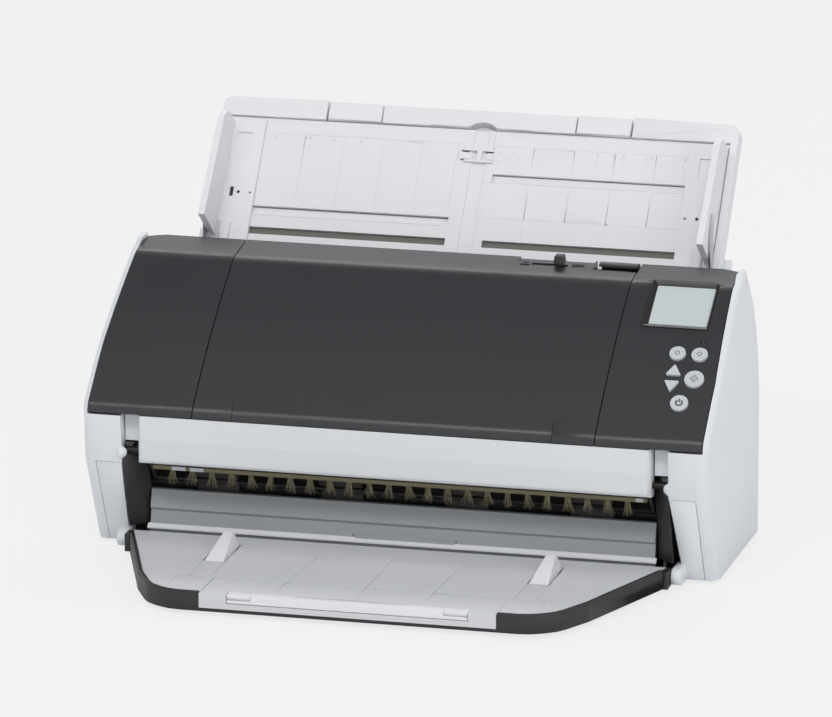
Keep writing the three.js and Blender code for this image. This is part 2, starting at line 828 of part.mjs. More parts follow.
function buildChassis(name, side) {
  const outline = [
    [chassisFront, basePlate + footHeight + fit], [bodyRear - wall * 2, basePlate + footHeight + fit],
    [bodyRear - wall * 2, pathBendZ], [pathBendY, pathBendZ + pickRollerRadius],
    [pathScanY, pathScanZ + rollerRadius / 2], [chassisFront, pathExitZ],
  ];
  let body = prismX(roundPath(outline), ...spanX(side, chassisX, chassisX + chassisThick));
  for (const [, y, z] of rollerPlaces) {
    body = body.subtract(rodX(y, z, shaftRadius + fit, -bodyHalfWidth, bodyHalfWidth));
  }
  body = body.subtract(rodX(motorY, motorZ, motorBoss, ...spanX(side, chassisX - overrun, bodyHalfWidth)));
  place(name, body, 'steel');
}

// Shafts run the width of the path; rubber rollers swell out of them.
function rollerShaft(y, z, radius, columns, left, right) {
  const profile = [[0, left], [shaftRadius, left]];
  for (const x of columns) {
    profile.push([shaftRadius, x - rollerWidth / 2], [radius, x - rollerWidth / 2]);
    profile.push([radius, x + rollerWidth / 2], [shaftRadius, x + rollerWidth / 2]);
  }
  profile.push([shaftRadius, right], [0, right]);
  const points = profile.map(([r, x]) => new THREE.Vector2(r, x));
  const shaft = new THREE.LatheGeometry(points, roundSides);
  shaft.rotateZ(-Math.PI / 2).translate(0, y, z);
  return solid(shaft);
}

function buildDrive() {
  const left = -chassisX - chassisThick - overrun;
  const pulleyX = chassisX + chassisThick + overrun;
  for (const [name, y, z, radius] of rollerPlaces) {
    const shaft = rollerShaft(y, z, radius, rollerColumns, left, pulleyX + pulleyWidth);
    place(`${name}_shaft`, shaft.add(rodX(y, z, pulleyRadius, pulleyX, pulleyX + pulleyWidth)), 'rubber');
  }
  const motorFace = chassisX - fit;
  const can = rodX(motorY, motorZ, motorRadius, motorFace - motorLength, motorFace);
  const boss = rodX(motorY, motorZ, motorBoss, motorFace - overrun, pulleyX - overrun);
  place('feed_motor', can.add(boss), 'steel');
  const pulley = rodX(motorY, motorZ, motorPulley, pulleyX - overrun + fit, pulleyX + pulleyWidth);
  place('motor_pulley', pulley, 'gearPlastic');
  const beltRun = [pulleyX + overrun, pulleyX + pulleyWidth - overrun];
  const belt = prismX(beltLoop(runningFit + beltThick), ...beltRun);
  place('drive_belt', belt.subtract(prismX(beltLoop(runningFit), pulleyX, pulleyX + pulleyWidth)), 'rubber');
}

// The outline of a belt pulled tight round every pulley, at a distance from their faces.
function beltLoop(distance) {
  const wheels = rollerPlaces.map(([, y, z]) => [y, z, pulleyRadius]).concat([[motorY, motorZ, motorPulley]]);
  const points = wheels.flatMap(([y, z, radius]) => circle(y, z, radius + distance));
  points.sort((first, second) => first.x - second.x || first.y - second.y);
  const half = (row) => {
    const chain = [];
    for (const point of row) {
      while (chain.length > 1 && turnsRight(...chain.slice(-2), point)) chain.pop();
      chain.push(point);
    }
    return chain.slice(0, -1);
  };
  return [...half(points), ...half(points.slice().reverse())];
}

function turnsRight(first, second, third) {
  const ahead = second.clone().sub(first);
  return ahead.cross(third.clone().sub(second)) <= 0;
}

function buildElectrics() {
  const floor = footHeight + basePlate + fit;
  place('main_board', block(-boardHalf, boardHalf, boardRear - boardDepth, boardRear,
    floor + boardStand, floor + boardStand + boardThick).add(block(-boardHalf / 2, boardHalf / 2,
    boardRear - boardDepth, boardRear - boardDepth + wall, floor, floor + boardStand + boardThick)), 'board');
  for (const [name, x, width, height] of sockets) {
    const face = bodyRear - wall - fit;
    const low = socketZ;
    const shell = block(x - width / 2, x + width / 2, face - socketDepth, face, low, low + height);
    const mouth = socketMouth([x, width, height], face - socketDepth + overrun, face + overrun);
    place(name, shell.subtract(mouth), 'blackFrame');
  }
}

// Feed cover: everything that swings forward with it

const cover = new THREE.Group();
scanner.add(cover);

function coverSkin(x0, x1) {
  const rear = [new THREE.Vector2(coverRearY, coverRearZ - coverRearDrop)];
  return prismX(strip([...coverLine, ...rear], coverWall), x0, x1);
}

function coverFrontOutline() {
  const low = coverLipZ - overrun;
  const top = bodyTop + overrun;
  const topWidth = leanAt(top, coverHalfWidth, coverTopHalfWidth);
  return [
    [-coverHalfWidth, low], [coverHalfWidth, low], [coverHalfWidth, leanStart], [topWidth, top],
    [-topWidth, top], [-coverHalfWidth, leanStart],
  ];
}

function coverPlanOutline() {
  return [
    [-coverHalfWidth, -overrun], [coverHalfWidth, -overrun],
    [coverHalfWidth, coverRearY - coverCornerInset],
    [coverHalfWidth - coverCornerRun, coverRearY + overrun],
    [-coverHalfWidth + coverCornerRun, coverRearY + overrun],
    [-coverHalfWidth, coverRearY - coverCornerInset],
  ];
}

function endCover(side) {
  let body = coverSkin(...spanX(side, coverSeam + seamGap / 2, coverHalfWidth));
  const endWall = prismX([...coverLine, new THREE.Vector2(coverRearY, coverRearZ - coverRearDrop),
    new THREE.Vector2(coverRearY - coverCornerInset, coverRearZ - coverRearDrop - wall),
    new THREE.Vector2(coverNoseY + coverRearDrop, coverLipZ)],
  ...spanX(side, coverTopHalfWidth - coverWall, coverHalfWidth));
  body = body.add(endWall);
  body = body.intersect(prismY(coverFrontOutline(), -bodyRear, bodyRear));
  body = body.intersect(prismZ(coverPlanOutline(), 0, bodyTop + overrun));
  const inner = prismX(swingOutline(), ...spanX(side, coverSeam, bodyHalfWidth));
  return body.subtract(inner).add(body.intersect(inner).intersect(coverEnvelope(-swingRelief, 0)));
}

// What lies under the cover's top is narrower, so that it clears the side covers as it swings up.
function swingOutline() {
  return [
    [coverNoseY, coverNoseZ - swingDrop], [coverBrowY, coverBrowZ - swingDrop],
    [coverRearY + overrun, coverRearZ - swingDrop], [coverRearY + overrun, 0], [coverNoseY, 0],
  ];
}

// A prism standing square on the cover's top, from an outline in x and s.
function onCover(outline, low, high) {
  const runs = outline.map((point) => (point.isVector2 ? point.y : point[1]));
  const middle = (Math.min(...runs) + Math.max(...runs)) / 2;
  const { y, z, angle } = coverPlace(middle);
  const turn = new THREE.Matrix4().makeRotationX(angle).setPosition(0, y, z);
  return solid(extrude(outline, high - low).translate(0, -middle, low).applyMatrix4(turn));
}

function buildCovers() {
  const half = coverSeam - seamGap / 2;
  let centre = coverSkin(-half, half);
  const [knobX, tabX] = [knobSlotLeft, tabLeft];
  centre = centre.subtract(block(knobX, knobX + knobSlotWidth, topSlotY, topSlotY + knobSlotDepth,
    coverBrowZ - coverRearDrop, bodyTop + overrun));
  centre = centre.subtract(block(tabX, half - wall, coverRearY - tabDepth, coverRearY + overrun,
    coverBrowZ - coverRearDrop * 2, bodyTop + overrun));
  place('centre_cover', centre, 'blackShell', cover);
  place('left_end_cover', endCover(-1), 'blackShell', cover);
  let panel = endCover(1);
  panel = panel.subtract(onCover(rectangle(displayLeft, displayLeft + displayWidth, displayLow,
    displayLow + displayHeight, overrun), -displayDepth, coverWall));
  for (const [, outline] of buttonOutlines(buttonClearance)) {
    panel = panel.subtract(onCover(outline, -coverWall - overrun, overrun));
  }
  const lampHole = circle(coverSeam + lampX, lampS, lampRadius + fit);
  panel = panel.subtract(onCover(lampHole, -coverWall - overrun, overrun));
  place('control_panel', panel, 'blackShell', cover);
}

function buttonOutlines(grow) {
  const round = roundButtons.map(([name, x, s, radius]) => [name, circle(coverSeam + x, s, radius + grow)]);
  const arrows = arrowButtons.map(([name, offset, s, way]) => {
    const x = coverSeam + offset;
    const half = arrowWidth / 2 + grow * 2;
    const tall = way * (arrowHeight / 2 + grow);
    const corners = [[x - half, s - tall], [x + half, s - tall], [x, s + tall]];
    return [name, roundPath(corners.map(([a, b]) => [a, b, overrun / 2]))];
  });
  return [...round, ...arrows];
}

function buildPanelParts() {
  const screen = onCover(rectangle(displayLeft + fit, displayLeft + displayWidth - fit, displayLow + fit,
    displayLow + displayHeight - fit, overrun), -displayDepth + fit, -displayDepth / 2);
  place('display', screen, 'screen', cover);
  const lens = circle(coverSeam + lampX, lampS, lampRadius);
  place('check_lamp', onCover(lens, -coverWall, fit), 'lamp', cover);
  for (const [name, outline] of buttonOutlines(0)) {
    place(name, onCover(outline, -buttonStem, buttonRise), 'buttonGrey', cover);
  }
}

function panelLine() {
  return roundPath([
    [0, panelTopZ],
    [-panelBulge, (panelTopZ + panelBottomZ) / 2, edgeRadius],
    [0, panelBottomZ, panelLipRadius], [panelLipDepth, panelBottomZ - overrun],
  ], false);
}

function buildFrontPanel() {
  const line = panelLine().reverse();
  let body = prismX(strip(line, panelWall), -panelHalfWidth, panelHalfWidth);
  const capTop = [new THREE.Vector2(panelLipDepth + panelWall, panelTopZ)];
  const capBottom = [new THREE.Vector2(panelLipDepth + panelWall, panelBottomZ)];
  for (const side of [-1, 1]) {
    const span = spanX(side, panelHalfWidth - panelWall, panelHalfWidth);
    body = body.add(prismX([...capBottom, ...line, ...capTop], ...span));
  }
  body = body.subtract(rodX(coverPivotY, coverPivotZ, coverPinRadius + fit, -bodyHalfWidth, bodyHalfWidth));
  place('front_panel', body, 'whiteShell', cover);
}

function coverInnerLine() {
  const rear = [new THREE.Vector2(coverRearY, coverRearZ - coverRearDrop)];
  return offsetLine([...coverLine, ...rear], coverWall + fit)
    .filter((point) => point.x > panelLipDepth + panelWall + fit);
}

// The cover's inner frame: a paper guide under it and two side walls up to its shells.
function buildUpperGuide() {
  const lower = offsetLine(guideLine.slice().reverse(), -pathGap);
  lower[lower.length - 1] = new THREE.Vector2(coverRearY, coverRearZ - mouthRise);
  const mouthFront = lower[lower.length - 2];
  lower[lower.length - 2] = new THREE.Vector2(mouthFront.x - overrun, mouthFront.y);
  let body = prismX(strip(lower, -guideWall), -pathHalfWidth, pathHalfWidth);
  const nose = [
    new THREE.Vector2(panelLipDepth + panelWall + fit, panelTopZ),
    new THREE.Vector2(panelLipDepth + panelWall + fit, panelBottomZ - overrun),
    new THREE.Vector2(coverPivotY - earRadius + overrun, coverPivotZ - earRadius),
  ];
  const roof = coverInnerLine();
  const wallOutline = [...lower, ...roof.slice().reverse(), nose[0], nose[1]];
  const near = pathHalfWidth - guideWall;
  const earRear = panelLipDepth + panelWall + overrun;
  for (const side of [-1, 1]) {
    body = body.add(prismX(wallOutline, ...spanX(side, near, pathHalfWidth)));
    body = body.add(rodX(coverPivotY, coverPivotZ, earRadius, ...spanX(side, near, pathHalfWidth)));
    body = body.add(sideBlock(side, near, pathHalfWidth, coverPivotY, earRear,
      coverPivotZ - earRadius, coverPivotZ + earRadius));
  }
  body = body.subtract(rodX(coverPivotY, coverPivotZ, coverPinRadius + fit, -bodyHalfWidth, bodyHalfWidth));
  for (const [, y, z, radius, columns] of upperRollers) {
    for (const x of columns) {
      const reach = rollerWidth / 2 + overrun;
      body = body.subtract(rodX(y, z, radius + overrun, x - reach, x + reach));
    }
    body = body.subtract(rodX(y, z, shaftRadius + fit, -pathHalfWidth, pathHalfWidth));
  }
  const [low, high] = glassSpan();
  body = body.subtract(prismX(guideSlab(low - fit, high + fit, 0, pathGap + guideWall + fit),
    -glassHalfWidth - fit, glassHalfWidth + fit));
  place('upper_guide', body, 'darkGuide', cover);
}

function buildUpperRollers() {
  for (const [name, y, z, radius, columns] of upperRollers) {
    place(name, rollerShaft(y, z, radius, columns, -pathHalfWidth, pathHalfWidth), 'rubber', cover);
  }
}

function buildHingePins() {
  for (const [name, side] of sides) {
    place(`${name}_hinge_pin`, rodX(coverPivotY, coverPivotZ, coverPinRadius,
      ...spanX(side, pathHalfWidth - guideWall - overrun, pillarInner + wall)), 'steel');
  }
}

function buildTopControls() {
  const tabRight = coverSeam - seamGap / 2 - wall;
  const tab = block(tabLeft + fit, tabRight - fit, coverRearY - tabDepth + fit, coverRearY - fit,
    coverBrowZ - tabThick, coverBrowZ + fit);
  place('release_tab', tab, 'blackShell', cover);
  const knobX = knobSlotLeft + knobSlotWidth - knobEndInset;
  const middle = topSlotY + knobSlotDepth / 2;
  const stemShare = 0.25;
  const stem = block(knobX - knobWidth * stemShare, knobX + knobWidth * stemShare,
    middle - knobStem / 2, middle + knobStem / 2, coverBrowZ - coverRearDrop, bodyTop);
  const cap = block(knobX - knobWidth / 2, knobX + knobWidth / 2,
    middle - knobDepth / 2, middle + knobDepth / 2, coverRearZ + fit, coverRearZ + knobRise);
  place('feed_mode_knob', stem.add(cap), 'blackShell', cover);
}

// Bristles: each tuft fans out from its own seat, so that no two strands cross.
function strandPoint(tuftX, index, share) {
  const column = index % strandColumns;
  const row = Math.floor(index / strandColumns);
  const across = (column - (strandColumns - 1) / 2) * strandSpacing;
  const along = (row - 0.5) * strandSpacing;
  const reach = strandLength * (1 - strandVariation * Math.abs(Math.sin(tuftX + index)));
  return new THREE.Vector3(
    tuftX + across * (1 + strandFan * share),
    brushY + along * (1 + strandFan * share / 2),
    brushZ - ferruleDrop - reach * share + ferruleDrop * (1 - share) / 2,
  );
}

function strandPositions(tuftX, index) {
  const rings = [0, 1].map((share) => {
    const centre = strandPoint(tuftX, index, share);
    return [0, 1, 2].map((side) => {
      const angle = (2 * Math.PI * side) / 3;
      const width = strandWidth * (1 - share / 2);
      return [centre.x + width * Math.cos(angle), centre.y + width * Math.sin(angle), centre.z];
    });
  });
  const points = rings.flat();
  const faces = [[0, 1, 2], [3, 5, 4], [0, 3, 1], [1, 3, 4], [1, 4, 2], [2, 4, 5], [2, 5, 0], [0, 5, 3]];
  return faces.flatMap((face) => face.flatMap((corner) => points[corner]));
}

function buildBrush() {
  const middle = (tuftCount - 1) / 2;
  const positions = [];
  for (let tuft = 0; tuft < tuftCount; tuft += 1) {
    const x = (brushLeft + brushRight) / 2 + (tuft - middle) * tuftPitch;
    for (let index = 0; index < strandsPerTuft; index += 1) positions.push(...strandPositions(x, index));
  }
  const strands = new THREE.BufferGeometry();
  strands.setAttribute('position', new THREE.Float32BufferAttribute(positions, 3));
  let backing = block(brushLeft, brushRight, brushY - brushDepth / 2, brushY + brushDepth / 2,
    brushZ, brushZ + brushHeight);
  for (let tuft = 0; tuft < tuftCount; tuft += 1) {
    const x = (brushLeft + brushRight) / 2 + (tuft - middle) * tuftPitch;
    const half = (strandColumns * strandSpacing) / 2 + strandWidth;
    const deep = strandSpacing + strandWidth;
    backing = backing.add(block(x - half, x + half, brushY - deep, brushY + deep,
      brushZ - ferruleDrop, brushZ + ferruleDrop));
  }
  place('anti_static_brush', backing.add(solid(strands)), 'bristle', cover);
}

// Input tray, built in its own frame and laid on its slope

const tray = new THREE.Group();
tray.position.set(0, trayFootY, trayFootZ);
tray.rotation.x = traySlopeAngle;
scanner.add(tray);

function buildTrayShell() {
  const shoulder = trayTop - overrun;
  const outline = roundPath([
    [-trayHalfWidth, trayBottom], [trayHalfWidth, trayBottom],
    [trayHalfWidth, shoulder, trayCornerRadius], [0, trayTop + overrun],
    [-trayHalfWidth, shoulder, trayCornerRadius],
  ]);
  let body = prismZ(outline, trayBack, trayRim);
  const inner = trayHalfWidth - traySideBorder;
  const plateTop = trayTop - trayBorder;
  body = body.subtract(block(-inner, inner, trayBottom - overrun, plateTop,
    -trayPlateThick - fit, trayRim + overrun));
  body = body.subtract(block(-inner, inner, rackLowY - rackWidth, rackHighY + rackWidth,
    rackBottom - fit, trayRim));
  const bay = tabOuter + fit;
  body = body.subtract(block(-bay, bay, trayBottom + wall, plateTop + overrun, drawerBottom - fit, rackTop));
  body = body.subtract(block(-bay, bay, plateTop, trayTop + overrun * 2,
    drawerBottom - fit, trayRim + overrun));
  for (const side of [-1, 1]) {
    body = body.add(sideBlock(side, hookInner, hookOuter, trayBottom - hookLength, trayBottom + overrun,
      trayBack + hookBack, trayBack + hookFront));
  }
  place('tray_shell', body, 'paleTray', tray);
}

function buildTrayPlate() {
  const half = trayHalfWidth - traySideBorder - fit;
  const top = trayTop - trayBorder - fit;
  const back = -trayPlateThick;
  let body = block(-half, half, trayBottom, top, back, 0);
  body = body.subtract(block(channelCentre - channelWidth / 2, channelCentre + channelWidth / 2,
    trayBottom - overrun, top + overrun, back / 2, overrun));
  for (const [side, run] of guideSlots()) {
    const [x0, x1] = spanX(side, side < 0 ? slotInnerLeft : slotInner, slotOuter);
    body = body.subtract(block(x0, x1, run - slotWidth / 2, run + slotWidth / 2, back - overrun, overrun));
  }
  const clipBlock = (half, low, high) => block(channelCentre - half, channelCentre + half,
    low, high, back, clipRise);
  body = body.add(clipBlock(clipWidth / 2, clipRun, clipRun + clipBar));
  body = body.add(clipBlock(clipWidth / 2, clipRun + clipHeight - clipBar, clipRun + clipHeight));
  body = body.add(clipBlock(clipBar, clipRun, clipRun + clipHeight));
  const pin = circle(0, (rackLowY + rackHighY) / 2, pinionPinRadius);
  body = body.add(prismZ(pin, rackBottom, back * pinSeatShare));
  place('tray_plate', body, 'paleTray', tray);
}

// Slots that the guide arms travel in: the side, and the place up the slope.
function guideSlots() {
  return [
    [-1, rackLowY], [-1, rackLowY - lowerSlotDrop], [1, rackHighY], [1, rackLowY - lowerSlotDrop],
  ];
}

function buildTrayDrawers() {
  const low = trayBottom + wall * 2;
  const bar = drawerBar;
  let outer = block(-tabOuter, tabOuter, low, low + bar, drawerBottom, drawerTop);
  let inner = block(-tabInner + fit, tabInner - fit, low + bar + fit, trayTop - overrun,
    drawerBottom, drawerTop);
  const border = trayTop - trayBorder + fit;
  for (const side of [-1, 1]) {
    outer = outer.add(sideBlock(side, tabInner, tabOuter, low, trayTop - overrun, drawerBottom, drawerTop));
    outer = outer.add(sideBlock(side, tabInner, tabOuter, border, trayTop - overrun, drawerBottom, trayRim));
  }
  inner = inner.add(block(-tabInner + fit, tabInner - fit, border, trayTop - overrun, drawerBottom, trayRim));
  inner = inner.subtract(prismZ(circle(channelCentre, border - notchOffset, notchRadius),
    drawerTop, trayRim + overrun));
  place('outer_extension', outer, 'paleTray', tray);
  place('inner_extension', inner, 'paleTray', tray);
}

function guideFin(side) {
  const mid = guideOuter - guideFinThick;
  const outline = [
    [0, guideBase / 2], [guideFinTop, guideBase / 2], [guideFinTop, guideFinHigh - edgeRadius],
    [guideFinTop - edgeRadius, guideFinHigh], [0, guideFinLow],
  ];
  const turn = prismX(outline, ...spanX(side, mid, guideOuter));
  return turn;
}

function buildGuides() {
  for (const [name, side] of sides) {
    const rackRun = side < 0 ? rackLowY : rackHighY;
    let body = sideBlock(side, guideInner, guideOuter, trayBottom + overrun, guideTop, fit, guideBase + fit);
    body = body.add(guideFin(side));
    for (const [slotSide, run] of guideSlots()) {
      if (slotSide !== side) continue;
      const footLow = run === rackRun ? rackBottom : -trayPlateThick;
      body = body.add(sideBlock(side, guideInner, guideInner + guideFoot,
        run - rackWidth / 2, run + rackWidth / 2, footLow, guideBase));
    }
    const rack = sideBlock(side, -rackReach, guideInner + guideFoot,
      rackRun - rackWidth / 2, rackRun + rackWidth / 2, rackBottom, rackTop);
    place(`${name}_guide`, body.add(rack), 'paleTray', tray);
  }
  const middle = (rackLowY + rackHighY) / 2;
  const radius = (rackHighY - rackLowY - rackWidth) / 2 - fit;
  const hole = circle(0, middle, pinionPinRadius + pinionFit);
  const bore = prismZ(hole, rackBottom - overrun, rackTop + overrun);
  const pinion = prismZ(circle(0, middle, radius), rackBottom, rackTop);
  place('guide_pinion', pinion.subtract(bore), 'gearPlastic', tray);
}

// Output stacker

const stacker = new THREE.Group();
scanner.add(stacker);

function stackerOutline(inset) {
  const half = stackerRearHalf - inset;
  const rear = stackerRearY - inset / 2;
  const length = stackerReach + rear - inset;
  const corners = stackerShares.map(([across, along]) => [
    across * half, rear - along * length, stackerCorner,
  ]);
  const right = [[half, stackerRearY], ...corners];
  const left = right.slice().reverse().map(([x, y, radius]) => [-x, y, radius]);
  return roundPath([...right, ...left]);
}

function buildStackerFrame() {
  const rimTop = stackerTopZ;
  let body = prismZ(stackerOutline(0), stackerBottomZ, rimTop);
  body = body.subtract(prismZ(stackerOutline(stackerRim), stackerBottomZ + guideWall, rimTop + overrun));
  body = body.subtract(block(-lipHalfWidth, lipHalfWidth, -stackerReach - overrun * 2,
    -stackerReach + stackerRim * 2, stackerBottomZ + guideWall, rimTop + overrun));
  for (const side of [-1, 1]) {
    const rear = [
      [stackerRearY - stackerRim * 3, stackerBottomZ],
      [stackerPivotY, stackerPivotZ - stackerPinRadius * 2, wall],
      [stackerPivotY + stackerPinRadius, stackerPivotZ, wall], [stackerPivotY, stackerTopZ],
      [stackerRearY - stackerRim * 3, stackerTopZ],
    ];
    body = body.add(prismX(roundPath(rear), ...spanX(side, stackerRearHalf - stackerRim, stackerRearHalf)));
    body = body.add(rodX(stackerPivotY, stackerPivotZ, stackerPinRadius,
      ...spanX(side, stackerRearHalf - stackerRim, pillarInnerFoot + overrun)));
  }
  place('stacker_frame', body, 'blackFrame', stacker);
}

function wedgePocket(side, grow) {
  return sideBlock(side, wedgeCentre - wedgeWidth / 2 - grow, wedgeCentre + wedgeWidth / 2 + grow,
    wedgeFrontY - grow, wedgeFrontY + wedgeLength + grow + wedgeSwing, 0, bodyTop);
}

function buildStackerFloor() {
  const top = stackerFloorZ;
  const low = stackerBottomZ + guideWall + fit;
  const inset = stackerRim + fit;
  let body = prismZ(stackerOutline(inset), top - stackerFloorThick, top);
  const skirt = prismZ(stackerOutline(inset), low, top)
    .subtract(prismZ(stackerOutline(inset + wall), low - overrun, top));
  body = body.add(skirt);
  body = body.subtract(block(-extensionHalfWidth - fit, extensionHalfWidth + fit, -stackerReach - overrun * 2,
    extensionRearY + fit, low - overrun, top + overrun));
  for (const side of [-1, 1]) body = body.subtract(wedgePocket(side, fit));
  place('stacker_floor', body, 'paleTray', stacker);
}

function buildStackerExtension() {
  const low = stackerBottomZ + guideWall + fit;
  const front = -stackerReach + fit;
  let body = prismZ(stackerOutline(stackerRim + fit * 2), low, stackerFloorZ - fit)
    .intersect(block(-extensionHalfWidth, extensionHalfWidth, front, extensionRearY, 0, bodyTop));
  body = body.add(block(-extensionHalfWidth, extensionHalfWidth, front - lipReach, front + stackerRim * 2,
    low, stackerFloorZ));
  body = body.add(block(-tongueHalf, tongueHalf, extensionRearY - overrun, wedgeFrontY + wedgeLength, low,
    stackerFloorZ - stackerFloorThick - fit));
  body = body.subtract(block(-stopperHalfWidth - fit, stopperHalfWidth + fit, front - lipReach - overrun,
    front - lipReach + stopperDepth + fit, stackerFloorZ - stopperThick - fit, stackerFloorZ + overrun));
  place('stacker_extension', body, 'paleTray', stacker);
  const stopper = block(-stopperHalfWidth, stopperHalfWidth,
    front - lipReach, front - lipReach + stopperDepth, stackerFloorZ - stopperThick, stackerFloorZ);
  place('stopper', stopper, 'paleTray', stacker);
}

function buildWedges() {
  for (const [name, side] of sides) {
    const rear = wedgeFrontY + wedgeLength - fit;
    const outline = [
      [wedgeFrontY + fit, stackerFloorZ - stackerFloorThick], [wedgeFrontY + fit, stackerFloorZ],
      [rear - wedgeCrest, stackerFloorZ + wedgeRise], [rear, stackerFloorZ + wedgeRise],
      [rear, stackerFloorZ], [wedgeFrontY + wedgeLength / 4, stackerFloorZ - stackerFloorThick],
    ];
    const span = spanX(side, wedgeCentre - wedgeWidth / 2, wedgeCentre + wedgeWidth / 2);
    place(`${name}_wedge`, prismX(outline, ...span), 'paleTray', stacker);
  }
}

function buildHousing() {
  for (const [name, side] of sides) {
    buildSideCover(`${name}_side_cover`, side);
    buildLowerPillar(`${name}_lower_pillar`, side);
    buildRiser(`${name}_riser`, side);
    buildChassis(`${name}_chassis_plate`, side);
  }
  buildRearCover();
  buildBasePan();
  buildFeet();
  buildExitWall();
  buildLowerGuide();
  buildGlasses();
  buildDrive();
  buildElectrics();
  buildHingePins();
}

function buildFeedCover() {
  buildCovers();
  buildPanelParts();
  buildFrontPanel();
  buildUpperGuide();
  buildUpperRollers();
  buildTopControls();
  buildBrush();
}

function buildTray() {
  buildTrayShell();
  buildTrayPlate();
  buildTrayDrawers();
  buildGuides();
}

function buildStacker() {
  buildStackerFrame();
  buildStackerFloor();
  buildStackerExtension();
  buildWedges();
}

// The origin is on the desk, under the middle of everything.
const frontReach = -stackerReach + fit - lipReach;
const rearReach = trayPoint(trayTop + overrun, trayBack)[0];
scanner.position.y = -(frontReach + rearReach) / 2;

buildHousing();
buildFeedCover();
buildTray();
buildStacker();

export default scanner;
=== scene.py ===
# %% [markdown]
# # A desktop document scanner
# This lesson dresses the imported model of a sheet-fed scanner. The model already holds the shapes
# that fit and move, so the work here is what the eye reads next: soft edges, moulded plastic,
# printed symbols, bristles, and light. Each step says what the real thing is, how it could be made,
# and why it is made this way.

# %% Load the model
import json
import math
import random

import bmesh
import bpy
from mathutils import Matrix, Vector


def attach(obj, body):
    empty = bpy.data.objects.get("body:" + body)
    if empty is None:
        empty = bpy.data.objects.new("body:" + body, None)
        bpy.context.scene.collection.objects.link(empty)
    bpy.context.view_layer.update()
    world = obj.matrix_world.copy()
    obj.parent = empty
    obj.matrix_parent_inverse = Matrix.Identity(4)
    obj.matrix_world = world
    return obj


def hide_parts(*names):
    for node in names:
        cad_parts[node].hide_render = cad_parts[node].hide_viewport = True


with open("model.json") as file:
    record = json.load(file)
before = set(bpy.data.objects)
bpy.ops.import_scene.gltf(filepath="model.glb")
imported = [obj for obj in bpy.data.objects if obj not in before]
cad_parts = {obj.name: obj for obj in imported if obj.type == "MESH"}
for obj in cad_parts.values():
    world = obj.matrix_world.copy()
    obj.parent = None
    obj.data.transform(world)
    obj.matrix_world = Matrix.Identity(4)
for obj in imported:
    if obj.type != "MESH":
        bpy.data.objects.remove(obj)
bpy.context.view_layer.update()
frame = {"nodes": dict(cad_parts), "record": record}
NODES = frame["nodes"]
print("pieces in the model:", len(NODES))

# %% [markdown]
# ## Units and colours
# Blender works in metres and in linear light. Every size and colour below could be written that
# way, but sizes are easier to read in millimetres, and colours in the hex codes of a paint chart.
# So two small functions turn one into the other.


# %% Millimetres and hex colours
def mm(*values):
    """Millimetres to metres: one number for one value, a Vector for three."""
    metres = [value / 1000 for value in values]
    return metres[0] if len(metres) == 1 else Vector(metres)


def colour(code, alpha=1.0):
    """An sRGB hex colour such as "#DDE0E2" as linear red, green, blue and alpha."""
    shares = [int(code[i:i + 2], 16) / 255 for i in (1, 3, 5)]
    linear = [s / 12.92 if s <= 0.04045 else ((s + 0.055) / 1.055) ** 2.4 for s in shares]
    return (*linear, alpha)


print("half grey on paper is this much light:", round(colour("#808080")[0], 3))

# %% [markdown]
# ## One function for shader nodes
# A material is a small network. Adding a node, setting its options and filling its inputs is the
# same work each time. It could be written out for each node, but one function keeps the recipes
# short: a plain value fills an input, and another node's output is linked to it.


# %% Add a shader node
def add(tree, kind, inputs=None, **settings):
    """Adds one node, sets its options, and fills or links its inputs. Returns the node."""
    made = tree.nodes.new(kind)
    for name, value in settings.items():
        setattr(made, name, value)
    for key, value in (inputs or {}).items():
        if isinstance(value, bpy.types.NodeSocket):
            tree.links.new(value, made.inputs[key])
        else:
            made.inputs[key].default_value = value
    return made


def new_tree(name):
    """A material with an empty network."""
    material = bpy.data.materials.new(name)
    material.use_nodes = True
    material.node_tree.nodes.clear()
    return material, material.node_tree


# %% [markdown]
# ## Moulded plastic
# Most of the machine is ABS, moulded in a steel tool whose walls were etched or spark-eroded to a
# fine grain. The grain breaks up reflections into a soft satin glow, and it is what tells plastic
# from paint. It could be a picture of a grain wrapped round each piece. Noise in the piece's own
# coordinates needs no wrapping and has no seams, so noise is used. The real grain is 0.1 to 0.3 mm
# across, too fine to show, so it is drawn three times as coarse. A much broader, very faint change
# of shade stands for the uneven cooling of a large moulding.

# %% Moulded plastic
COARSER = 3.0        # how much coarser than the real grain it is drawn
CLOUD_MM = 70.0      # the slow drift of shade over a large moulding
SHINE_MM = 25.0      # patches that are a little more or less polished
SHINE_DRIFT = 0.015


